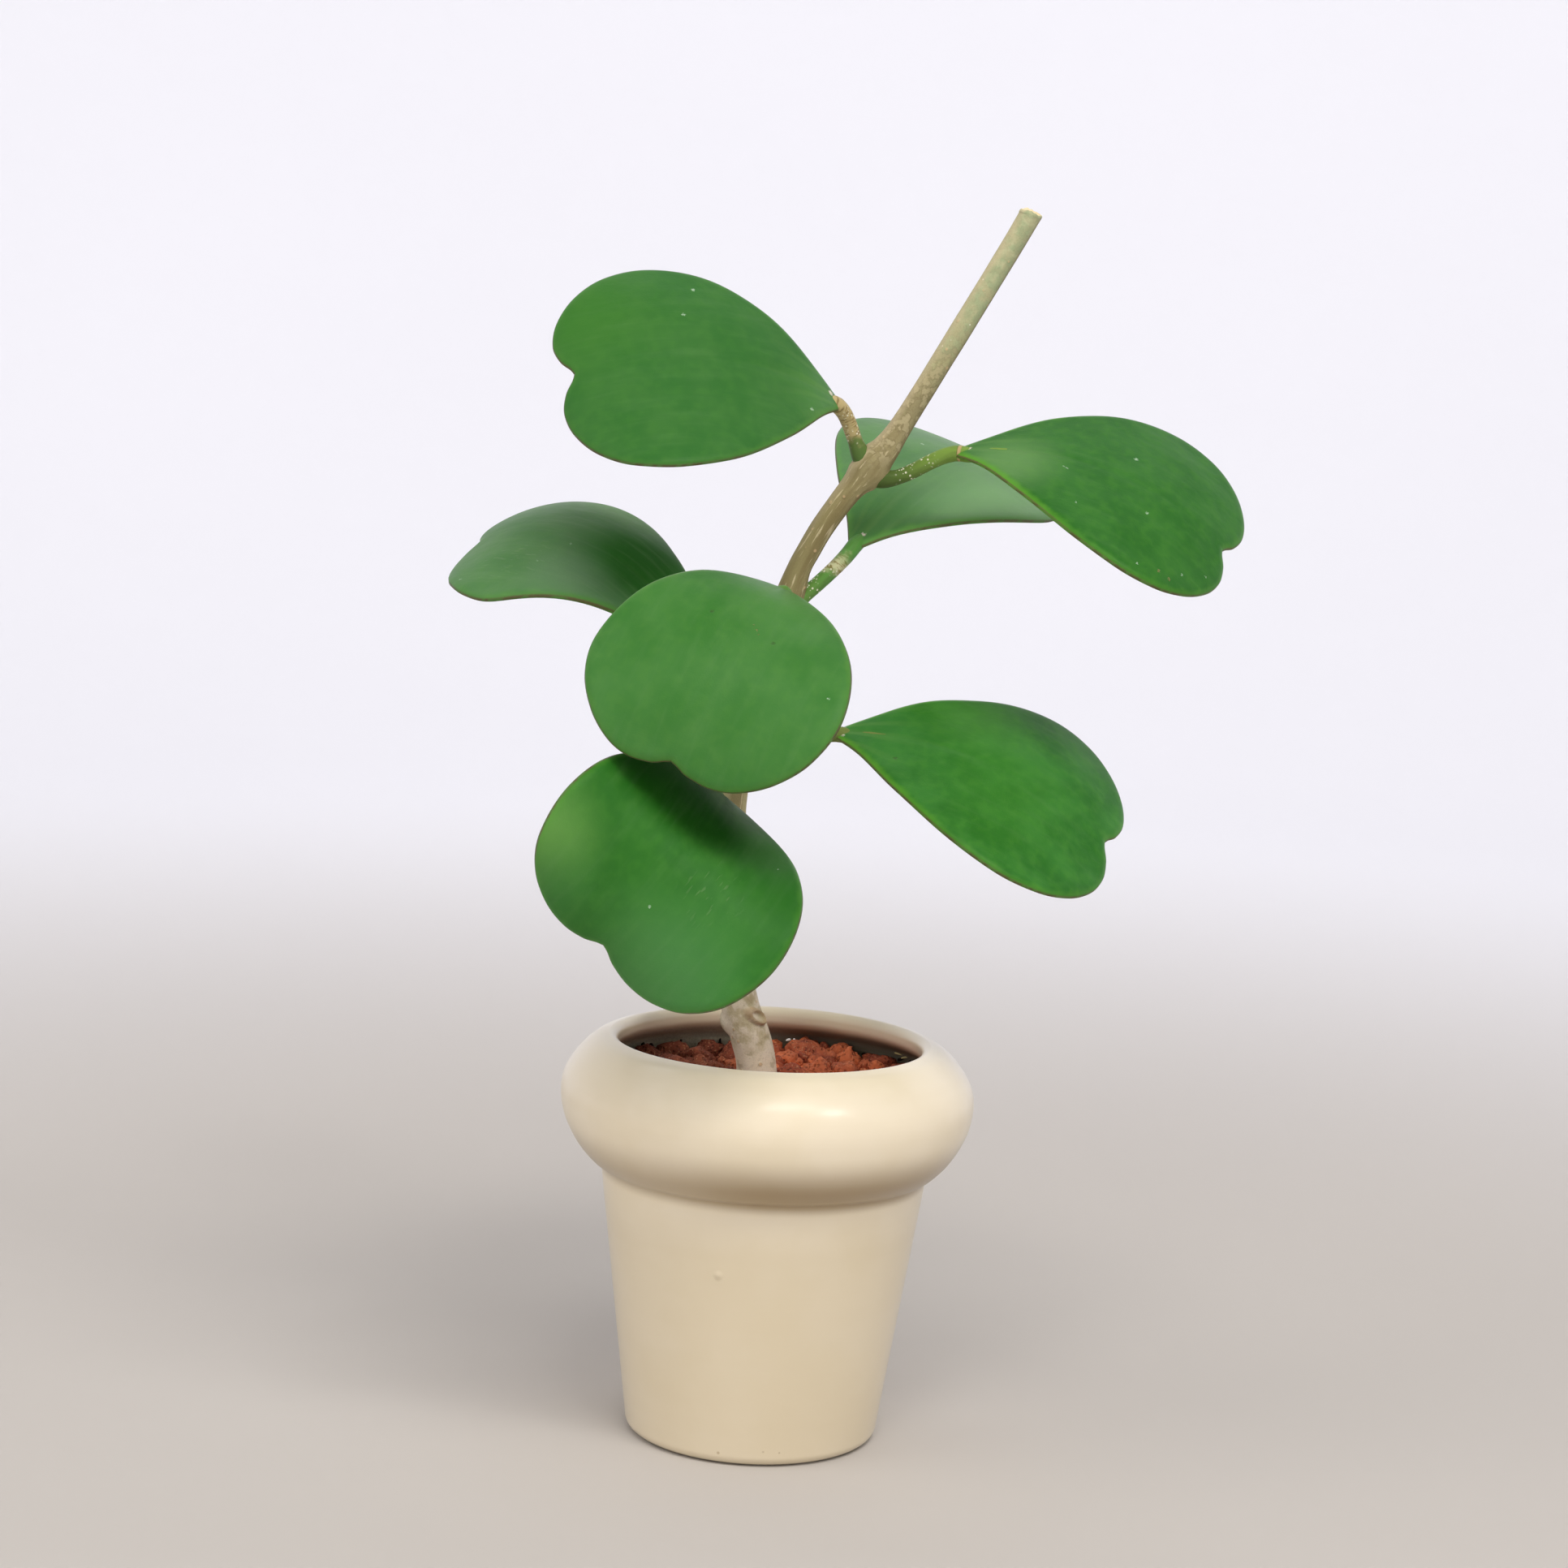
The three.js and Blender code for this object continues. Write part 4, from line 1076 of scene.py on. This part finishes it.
# %% Bending maths
def bend(leaf, a, b):
    """Places in space, in millimetres, of the flat blade's points (a, b)."""
    ahead = direction(leaf["heading"], leaf["climb"])
    level = direction(leaf["heading"], leaf["climb"] + 90)
    side = np.cross(level, ahead)
    bank = math.radians(leaf["bank"])
    above = level * math.cos(bank) + side * math.sin(bank)
    left = np.cross(above, ahead)
    half = leaf["width"] / 2
    share = a / leaf["length"]

    grid = np.linspace(0, 1.2, 241)           # a little past the tip, in steps of 0.005
    slope = np.radians(leaf["arch"] * grid + leaf["droop"] * grid**2)
    between = (slope[1:] + slope[:-1]) / 2
    step = grid[1] * leaf["length"]
    forward = np.interp(share, grid, np.concatenate([[0], np.cumsum(np.cos(between))]) * step)
    down = np.interp(share, grid, np.concatenate([[0], np.cumsum(np.sin(between))]) * step)
    tilt = np.interp(share, grid, slope)

    left_cup, right_cup = leaf["cup"]
    bend_share = smooth_step(share, 0.0, 0.4)
    roll = np.radians(np.where(b > 0, left_cup, right_cup)) * bend_share / half
    roll = np.where(np.abs(roll) < 1e-6, 1e-6, roll)
    wave = np.where(b > 0, *leaf["wave"])
    sway = wave * (b / half)**2 * np.sin(2 * np.pi * np.maximum(share, 0))
    flat_side = np.sin(roll * b) / roll
    flat_up = (1 - np.cos(roll * b)) / roll + sway
    twist = math.radians(leaf["twist"]) * np.maximum(share, 0)
    sideways = flat_side * np.cos(twist) - flat_up * np.sin(twist)
    upwards = flat_side * np.sin(twist) + flat_up * np.cos(twist)
    place = np.outer(forward + np.minimum(a, 0) + upwards * np.sin(tilt), ahead)
    place += np.outer(upwards * np.cos(tilt) - down, above) + np.outer(sideways, left)
    return place + np.array(leaf["base"])


def facing(leaf, a, b):
    """The unit vectors that point out of the blade's upper face."""
    h = 0.2
    ahead = bend(leaf, a + h, b) - bend(leaf, a - h, b)
    left = bend(leaf, a, b + h) - bend(leaf, a, b - h)
    across = np.cross(ahead, left)
    return across / np.linalg.norm(across, axis=1)[:, None]


# %% [markdown]
# ## Leaf stalks
#
# Short, thick stalks carry the leaves. Each leaves the stem in its own direction, bends like a
# loaded spring, and runs on under the blade as a keel that fades out after 13 mm. The young
# ones are smooth and green, the older ones corky and tan in their upper half, with fine rings
# and white flecks. One material function makes all seven, since only the colours and
# the corky stretch differ.


# %% Stalk material
def stalk_material(name, low, high, cork, corky, speckled=0.0, ring_at=99):
    """corky is the corky stretch's (start, end) and ring_at a ring's place, in mm."""
    material, tree, shader = new_material(name, roughness=0.55, ior=1.45)
    skin = add(tree, "stored", attribute_name="skin_place").outputs["Vector"]
    far = add(tree, "split", skin).outputs["Z"]
    ringed = add(tree, "mapping", skin, Scale=(0.35, 0.35, 1.0))
    drawn = add(tree, "mapping", skin, Scale=(1.0, 1.0, 0.15))
    rings = add(tree, "noise", ringed, Scale=1400.0, Detail=2.0)
    lines = add(tree, "noise", drawn, Scale=1100.0, Detail=2.0)
    cloudy = add(tree, "noise", skin, Scale=300.0, Detail=3.0)
    spots = add(tree, "cells", skin, Scale=1050.0)

    tone = add(tree, "mix", ("ease", far, 4 * MM, 24 * MM), low, high)
    tone = add(tree, "mix", ("ease", lines, 0.45, 0.7, 0.0, 0.3), tone, "#4A5A26")
    start, end = corky
    patchy = add(tree, "MULTIPLY_ADD", cloudy, 9 * MM, far)
    cork_share = add(tree, "MULTIPLY", ("ease", patchy, (start + 3) * MM, (start + 7) * MM),
                     ("ease", patchy, (end + 3) * MM, (end + 8) * MM, 1.0, 0.0))
    ring_tone = add(tree, "mix", ("ease", rings, 0.45, 0.62), cork, "#8B7447")
    tone = add(tree, "mix", ("MULTIPLY", cork_share, 0.85), tone, ring_tone)
    # White flecks lie in the middle of the stalk.
    flecked = add(tree, "MULTIPLY", ("ease", far, 7 * MM, 10 * MM),
                  ("ease", far, 17 * MM, 21 * MM, speckled, 0.0))
    white = add(tree, "MULTIPLY", ("ease", spots, 0.22, 0.34, 1.0, 0.0),
                ("MULTIPLY", ("ease", cloudy, 0.42, 0.5), flecked))
    tone = add(tree, "mix", white, tone, "#E3E0C6")
    off_ring = add(tree, "ABSOLUTE", ("SUBTRACT", far, ring_at * MM))
    old_ring = add(tree, "ease", off_ring, 0.25 * MM, 0.55 * MM, 1.0, 0.0)
    tone = add(tree, "mix", ("MULTIPLY", old_ring, 0.8), tone, "#B99A6E")
    relief = add(tree, "MULTIPLY", ("MULTIPLY", rings, cork_share), 0.14 * MM)
    relief = add(tree, "MULTIPLY_ADD", old_ring, 0.2 * MM, relief)
    relief = add(tree, "MULTIPLY_ADD", lines, 0.05 * MM, relief)
    fill(shader, Base_Color=tone, Normal=add(tree, "bump", Height=relief))
    return material


TAN = "#BDA877"
STALK_SKINS = {
    1: stalk_material("corky_stalk_skin_1", "#4E6B2C", "#8A8A4E", TAN, (9, 60), 0.9),
    2: stalk_material("green_stalk_skin_2", "#43581D", "#718F38", TAN, (90, 99), 0.9, 26.5),
    3: stalk_material("corky_stalk_skin_3", "#5F8738", "#4F8636", "#C4BE96", (17, 21), 0.9),
    4: stalk_material("green_stalk_skin_4", "#5F7838", "#55802F", TAN, (90, 99), 0.2),
    5: stalk_material("green_stalk_skin_5", "#527535", "#55852F", TAN, (90, 99), 0.2),
    6: stalk_material("reddish_stalk_skin_6", "#6B5638", "#6C7A3A", "#8A6444", (7, 14), 0.3),
    7: stalk_material("green_stalk_skin_7", "#5C6C36", "#5C822F", TAN, (90, 99), 0.3),
}
print("Stalk skins:", len(STALK_SKINS))

# %% Stalk meshes
STALK_POINTS, KEEL_POINTS = 90, 26
STALK_PULL, BLADE_PULL = 0.4, 0.35  # how far each end's direction carries, as shares of the way
FOOT_SWELLING = 0.55                # how much thicker the stalk is where it leaves the stem
WAIST = 0.12                        # how much thinner it is halfway
KEEL_LENGTH = 13.0
KEEL_TIP = 0.7
UNDER_SKIN = 0.9                    # the keel's top stays this far inside the blade


def stalk_path(leaf):
    """Points and radii from inside the stem to the end of the keel."""
    start, _ = stem_at(leaf["node"])
    into = direction(leaf["heading"], leaf["climb"])
    end = np.array(leaf["base"]) - into * (GAP + 0.01 * leaf["length"])
    reach = np.linalg.norm(end - start)
    first = start + direction(*leaf["out"]) * reach * STALK_PULL
    last = end - into * reach * BLADE_PULL
    t = np.linspace(0, 1, STALK_POINTS)[:, None]
    curve = ((1 - t)**3 * start + 3 * (1 - t)**2 * t * first
             + 3 * (1 - t) * t**2 * last + t**3 * end)
    a = np.linspace(0.3, KEEL_LENGTH, KEEL_POINTS)
    middle = np.zeros(len(a))
    keel_radius = STALK_RADIUS - (STALK_RADIUS - KEEL_TIP) * smooth_step(a, 0, KEEL_LENGTH)
    drop = smooth_step(a, -1.0, 4.0) * (keel_radius - UNDER_SKIN)
    keel = bend(leaf, a, middle) - facing(leaf, a, middle) * drop[:, None]
    far = np.linalg.norm(curve - start, axis=1)
    radius = STALK_RADIUS + FOOT_SWELLING * (1 - smooth_step(far, 3.5, 9.0))
    radius = radius - WAIST * np.sin(np.pi * t[:, 0])
    return np.vstack([curve, keel]), np.concatenate([radius, keel_radius])


for number, leaf in LEAVES.items():
    stalk = rod(f"hoya_leaf_stalk_{number}", *stalk_path(leaf), STALK_SKINS[number], 32,
                depth=0.16, width=1.2, length=3.0)
    keep(stalk, "stalk_skin", f"leaf_stalk_{number}")

# %% [markdown]
# ## Leaf skin
#
# Hoya leaves are thick and waxy. The skin is a mid green with soft clouds about 1 cm across,
# a yellower band a few millimetres wide near the edge, partly painted light on the thin, rounded
# rim, and a hair-thin purplish-brown line on the rim. A fan of pale veins opens from the stalk
# and fades after 3 cm. The underside is paler and duller. Each leaf has its own patches of
# lighter or deeper green, scratches, corky flecks and spots, given by their place on the flat
# leaf. Some patches are painted light: painted shade on leaves 4 and 7, and painted sheen on
# leaves 3, 4 and 7. One function makes the skin and each leaf brings its own tints and marks.


# %% Leaf skin material
PAINTED_SHADE_FROM = 0.8                     # a patch as strong as this is painted shade and also mirrors less


def leaf_skin(number, tint, cloud, edge, flecks, dark_spots=(), scars=(), glands=(),
              patches=(), scratched=(), fibrous=0.04, gloss=0.26):
    """tint, cloud and edge are colours. A mark is (a, b, radius) in mm on the flat leaf, and a
    patch goes on with its colour, its strength and how soft its edge is."""
    material, tree, shader = new_material(f"waxy_leaf_skin_{number}", roughness=0.42, ior=1.45)
    flat = add(tree, "stored", attribute_name="flat_place").outputs["Vector"]
    inset = add(tree, "stored", attribute_name="edge_distance").outputs["Fac"]
    upper = add(tree, "stored", attribute_name="upper").outputs["Fac"]
    apart = add(tree, "split", flat)
    a, b = apart.outputs["X"], apart.outputs["Y"]
    moved = add(tree, "vector", flat, (number, 0, 0), operation="ADD")
    clouds = add(tree, "noise", moved, Scale=75.0, Detail=3.0)
    mottle = add(tree, "noise", moved, Scale=300.0, Detail=4.0)
    grain = add(tree, "noise", moved, Scale=2400.0, Detail=2.0)

    tone = add(tree, "mix", ("ease", clouds, 0.35, 0.65), tint, cloud)
    tone = add(tree, "mix", ("ease", mottle, 0.4, 0.7, 0.0, 0.10), tone, edge)
    for along, across, size, code, strength, *soft in patches:
        share = near_spots(tree, flat, [(at(along, across, 0), size * MM)], *soft or [0.8])
        tone = add(tree, "mix", ("MULTIPLY", share, strength), tone, code)
        # A patch this strong is painted shade, so it also takes away the skin's shine.
        if strength >= PAINTED_SHADE_FROM:
            shine = add(tree, "ease", share, 0.0, 1.0, gloss, 0.1 * gloss)
            fill(shader, Specular_IOR_Level=shine)
    # Fine fibres run lengthwise through the blade.
    drawn = add(tree, "mapping", moved, Scale=(0.12, 1.0, 1.0))
    fibres = add(tree, "noise", drawn, Scale=420.0, Detail=3.0)
    tone = add(tree, "mix", ("ease", fibres, 0.45, 0.75, 0.0, fibrous), tone, "#7FA070")

    # Veins: eleven lines fan out from a point behind the blade's base.
    behind = add(tree, "ADD", a, 9 * MM)
    turn = add(tree, "ARCTAN2", b, behind)
    wobble = add(tree, "MULTIPLY_ADD", clouds, 0.12, turn)
    stripe = add(tree, "COSINE", ("MULTIPLY", wobble, 26.0))
    line = add(tree, "ease", stripe, 0.2, 1.0)
    far = add(tree, "vector", flat, operation="LENGTH")
    fade = add(tree, "ease", far, 3 * MM, 30 * MM, 0.3, 0.0)
    tone = add(tree, "mix", ("MULTIPLY", line, fade), tone, "#5E8941")
    # The midrib shows as a faint paler line, widest at the base.
    rib_width = add(tree, "MULTIPLY_ADD", a, -0.012, 1.3 * MM)
    rib_share = add(tree, "DIVIDE", ("ABSOLUTE", b), rib_width)
    rib = add(tree, "MULTIPLY", ("ease", rib_share, 0.2, 1.0, 1.0, 0.0),
              ("ease", a, 0.0, 40 * MM, 0.25, 0.0))
    tone = add(tree, "mix", rib, tone, "#59833D")

    # A yellower band runs along the edge, partly a yellower skin and partly painted light on the
    # thin, rounded rim. The rim itself is a thin purplish-brown line.
    band_width = add(tree, "MULTIPLY_ADD", mottle, 1.6 * MM, 0.9 * MM)
    edge_band_and_glow = add(tree, "ease", ("DIVIDE", inset, band_width), 0.1, 1.3, 1.0, 0.0)
    edge_band_and_glow = add(tree, "MULTIPLY", edge_band_and_glow, ("ease", a, 8 * MM, 50 * MM, 0.85, 0.3))
    tone = add(tree, "mix", edge_band_and_glow, tone, edge)
    rim_place = add(tree, "MULTIPLY_ADD", grain, 0.3 * MM, inset)
    rim = add(tree, "ease", rim_place, 0.3 * MM, 0.7 * MM, 0.75, 0.0)
    tone = add(tree, "mix", rim, tone, "#5F4638")

    # The leaf's own marks.
    rough_edge = add(tree, "noise", moved, Scale=1300.0)
    shifted = add(tree, "vector", rough_edge.outputs["Color"], (0.5, 0.5, 0.5),
                  operation="SUBTRACT")
    shifted = add(tree, "vector", shifted, 1.6 * MM, operation="SCALE")
    ragged = add(tree, "vector", flat, shifted, operation="ADD")
    relief = add(tree, "MULTIPLY", mottle, 0.10 * MM)
    relief = add(tree, "MULTIPLY_ADD", grain, 0.018 * MM, relief)
    if scratched:
        # Rubbed places: short pale scratches in a few soft round regions.
        slanted = add(tree, "mapping", flat, Rotation=(0, 0, 0.9), Scale=(0.22, 1.0, 1.0))
        scratches = add(tree, "noise", slanted, Scale=1100.0, Detail=1.0)
        regions = [(at(along, across, 0), size * MM) for along, across, size in scratched]
        share = add(tree, "MULTIPLY", near_spots(tree, flat, regions, soft=0.6),
                    ("ease", scratches, 0.62, 0.7))
        tone = add(tree, "mix", ("MULTIPLY", share, 0.1), tone, "#A9BE8E")
        relief = add(tree, "MULTIPLY_ADD", share, 0.06 * MM, relief)
    for marks, code, strength, push in ((flecks, "#ABC6A6", 0.65, 0.10),
                                        (dark_spots, "#3C5A2C", 0.7, -0.08),
                                        (scars, "#8A7648", 0.6, 0.12),
                                        (glands, "#D9D3BE", 0.85, 0.3)):
        if marks:
            spots = [(at(along, across, 0), size * 0.8 * MM) for along, across, size in marks]
            share = near_spots(tree, ragged, spots, soft=0.45)
            share = add(tree, "MULTIPLY", share, upper)
            relief = add(tree, "MULTIPLY_ADD", share, push * MM, relief)
            tone = add(tree, "mix", ("MULTIPLY", share, strength), tone, code)
    under = add(tree, "mix", ("ease", mottle, 0.3, 0.7), "#527440", "#5A7B47")
    under = add(tree, "mix", edge_band_and_glow, under, edge)
    tone = add(tree, "mix", upper, under, tone)

    dull = add(tree, "MULTIPLY_ADD", mottle, 0.12, 0.36)
    dull = add(tree, "MULTIPLY_ADD", ("SUBTRACT", 1.0, upper), 0.2, dull)
    fill(shader, Base_Color=tone, Roughness=dull, Specular_IOR_Level=gloss,
         Subsurface_Weight=0.12, Subsurface_Radius=(0.35, 1.0, 0.2), Subsurface_Scale=1.2 * MM,
         Normal=add(tree, "bump", Height=relief))
    return material


BRIGHT_EDGE_GLOW = "#5C9A2A"                  # the yellow-green of the rolled edge near a stalk, partly painted light on the rim
LEAF_SKINS = {
    1: leaf_skin(1, "#2E6426", "#36692B", "#4C842C",
                 [(42, -23.2, 0.6), (46.4, -13.7, 0.5), (26.7, -22.7, 0.4), (13.1, 8.7, 0.6)],
                 glands=[(3.4, -1.2, 1.0)],
                 patches=[(8, 3, 9, "#477E35", 0.5), (72, -18, 16, "#3B7223", 0.5)]),
    2: leaf_skin(2, "#245F19", "#2C661F", BRIGHT_EDGE_GLOW,
                 [(44.9, 9.6, 0.7), (28.9, -4.3, 0.4), (29.9, -4.6, 0.4), (35.7, -17.3, 0.4),
                  (56.5, -28, 0.4), (53.3, -8.9, 0.5), (68.8, -20.2, 0.4), (75, -13.7, 0.4)],
                 scars=[(66.2, -24.9, 0.6), (62.7, -25.1, 0.5)], glands=[(3.0, 0.0, 0.6)],
                 patches=[(15, -6, 10, "#5C8748", 0.75)], scratched=[(9.7, 8.8, 5)]),
    # Leaf 3: its grey-green tints are partly painted sheen, and the pale patch at (36, -26) is
    # painted light where leaf 2 shades it.
    3: leaf_skin(3, "#507C48", "#5A854D", "#5C9440", [(51.4, 9.8, 0.5)], fibrous=0.12,
                 glands=[(3.0, -0.6, 0.7)],
                 patches=[(8, 0, 12, "#3D7231", 0.6), (36, -26, 18, "#7CA670", 0.75)]),
    # Leaf 4: the deep green patch at (27, -4) is painted shade, the grey-green patch at (40, 17)
    # is a painted sheen, and its grey-green tints are partly painted sheen.
    4: leaf_skin(4, "#4A7741", "#527C47", "#548A34",
                 [(70.2, 24.4, 0.4), (49.4, 15.5, 0.4), (46.2, 4.3, 0.4)], fibrous=0.12,
                 gloss=0.14, patches=[(27, -4, 17, "#235C19", 0.9, 0.6),
                                      (48, -30, 11, "#5E9440", 0.7), (40, 17, 9, "#6C9066", 0.5)],
                 scratched=[(56, 16, 9)]),
    5: leaf_skin(5, "#386F2C", "#417534", "#55892F", [(48.1, 29, 0.4)],
                 dark_spots=[(36.2, -7.7, 0.7), (38.2, 9.9, 0.7)],
                 scars=[(36.4, 4.4, 0.35), (34.9, 2.9, 0.3), (37.6, 5.6, 0.25)],
                 patches=[(20, 5, 10, "#4C8436", 0.5)]),
    6: leaf_skin(6, "#25651A", "#347428", BRIGHT_EDGE_GLOW, [],
                 dark_spots=[(18.4, -8.5, 0.8)], glands=[(1.6, -1.5, 0.7)],
                 patches=[(12, 0, 9, "#41803A", 0.4), (32, 16, 12, "#3E7C22", 0.5),
                          (48, -8, 14, "#3B7A26", 0.4)]),
    # Leaf 7: the big deep green patch at (-10, -15) is a painted shadow of leaf 5, and the
    # grey-green patches at (24, 19) and (16, 6) are painted sheen where that shadow ends.
    7: leaf_skin(7, "#27651A", "#2F6C20", "#4F8A2C", [(61.4, 1.7, 0.38), (32.3, 20.9, 0.35)],
                 patches=[(65, -29, 10, "#6CA04C", 0.6), (-10, -15, 53, "#123F0B", 0.8, 0.1),
                          (74, -20, 9, "#417C3A", 0.5), (24, 19, 10, "#4C7A42", 0.7),
                          (16, 6, 9, "#54704C", 0.6),
                          (72, 16, 16, "#4A8144", 0.7), (36, 27, 11, "#1F5914", 0.6)],
                 scratched=[(49.6, 11.4, 7)]),
}
print("Leaf skins:", len(LEAF_SKINS))

# %% [markdown]
# ## Leaf meshes
#
# Each blade has two skins of 120 rows by 65 points, one above and one below the bent middle
# surface. Their distance from it falls to nothing at the outline along a quarter circle, so the
# rim is a smooth, rounded edge 2.2 mm thick. The upper skin is not perfectly even: a shallow
# groove marks the midrib, and waves of a quarter millimetre catch the light here and there.

# %% Leaf meshes
# The heart outline, as rows of (along the leaf, across it, place on the midrib), in shares of
# the length, the width and the length. A row of the mesh runs from the midrib to the outline.
HEART = [
    [-0.01, 0.028, -0.01], [0.10, 0.115, 0.12], [0.28, 0.285, 0.30], [0.50, 0.44, 0.48],
    [0.70, 0.50, 0.62], [0.86, 0.465, 0.72], [0.975, 0.374, 0.80], [1.046, 0.262, 0.87],
    [1.070, 0.160, 0.925], [1.056, 0.076, 0.97], [1.030, 0.026, 1.005], [1.020, 0, 1.020],
]
LEAF_ROWS = 120
LEAF_COLUMNS = 64
HALF_THICKNESS = 1.1
RIM_ROUND = 2.6                     # how far in from the outline the rounding reaches
GROOVE = 0.12
UNEVEN = 0.18
TRIM = 0.995                        # keeps the smooth outline inside the CAD blade's corners


def leaf_mesh(number, leaf):
    """The finished blade of one leaf, with its places on the flat leaf stored for its skin."""
    rows = flowing(HEART, LEAF_ROWS)
    rows[:, [0, 2]] += leaf.get("notch", 0) * smooth_step(rows[:, 2:], 0.93, 1.02)
    # s runs from -1 to 1 across a row, with its steps closer together at the rim.
    turn = np.linspace(-1, 1, LEAF_COLUMNS + 1)
    s = np.sign(turn) * (1 - np.cos(np.pi * np.abs(turn))) / 2
    s = 0.55 * s + 0.45 * turn
    along, across, spine = (rows[:, k][:, None] for k in range(3))
    a = TRIM * leaf["length"] * (spine + (along - spine) * np.abs(s))
    b = TRIM * leaf["width"] * across * s * (1 + np.sign(s) * leaf["lean"])
    a, b = a.ravel(), b.ravel()

    grid = np.arange(LEAF_ROWS * (LEAF_COLUMNS + 1)).reshape(LEAF_ROWS, -1)
    rim = np.concatenate([grid[:, 0], grid[::-1, -1]])
    line = np.column_stack([a[rim], b[rim]])
    start, reach = line, np.roll(line, -1, axis=0) - line
    spots = np.column_stack([a, b])[:, None]
    t = np.sum((spots - start) * reach, axis=2) / np.maximum(np.sum(reach**2, axis=1), 1e-9)
    nearest = start + np.clip(t, 0, 1)[..., None] * reach
    inset = np.linalg.norm(spots - nearest, axis=2).min(axis=1)

    rising = 1 - np.clip(inset / RIM_ROUND, 0, 1)
    thick = HALF_THICKNESS * np.sqrt(1 - rising**2)
    calm = smooth_step(inset, 1.0, 9.0)
    phases = np.random.default_rng(number).uniform(0, 6.28, 6)
    waves = (np.sin(a / 5.1 + b / 9.0 + phases[0]) * np.sin(b / 6.3 - a / 11.0 + phases[1])
             + 0.6 * np.sin(a / 3.0 - b / 3.6 + phases[2]) * np.sin(b / 4.1 + phases[3])
             + 0.8 * np.sin(b / 8.0 + a / 17.0 + phases[4]))
    groove = GROOVE * np.exp(-(b / 1.3)**2) * smooth_step(a, 0.5, 6.0) * (
        1 - 0.7 * smooth_step(a, 30.0, 70.0))
    middle, normal = bend(leaf, a, b), facing(leaf, a, b)
    top = middle + normal * (thick + calm * (UNEVEN * (waves - 1.4) / 2 - groove))[:, None]
    bottom = middle - normal * (thick + calm * (groove - UNEVEN * waves / 3))[:, None]

    corner = [grid[:-1, :-1], grid[1:, :-1], grid[1:, 1:], grid[:-1, 1:]]
    quads = np.stack([c.ravel() for c in corner], axis=1)
    faces = quads.tolist() + (quads[:, ::-1] + grid.size).tolist()
    ends = [grid[0].tolist() + (grid[0, -2:0:-1] + grid.size).tolist()]
    piece = make_piece(f"hoya_leaf_{number}", np.vstack([top, bottom]), faces + ends)
    flat = np.column_stack([a, b, np.zeros(len(a))]) * MM
    attach(piece, "flat_place", np.vstack([flat, flat]), "FLOAT_VECTOR")
    attach(piece, "edge_distance", np.concatenate([inset, inset]) * MM)
    attach(piece, "upper", np.repeat([1.0, 0.0], grid.size))
    shape = bmesh.new()
    shape.from_mesh(piece.data)
    bmesh.ops.remove_doubles(shape, verts=shape.verts, dist=0.002 * MM)
    bmesh.ops.recalc_face_normals(shape, faces=shape.faces)
    shape.to_mesh(piece.data)
    shape.free()
    piece.data.materials.append(LEAF_SKINS[number])
    return piece


for number, leaf in LEAVES.items():
    keep(leaf_mesh(number, leaf), "leaf_skin", f"leaf_{number}")

# %% [markdown]
# ## Size of the finished pieces
#
# The box round the finished pieces is printed in millimetres. The finished pieces must stay
# inside the box of the CAD model.

low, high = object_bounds()
print("Visual box in mm:", [round(v / MM, 1) for v in (*low, *high)])
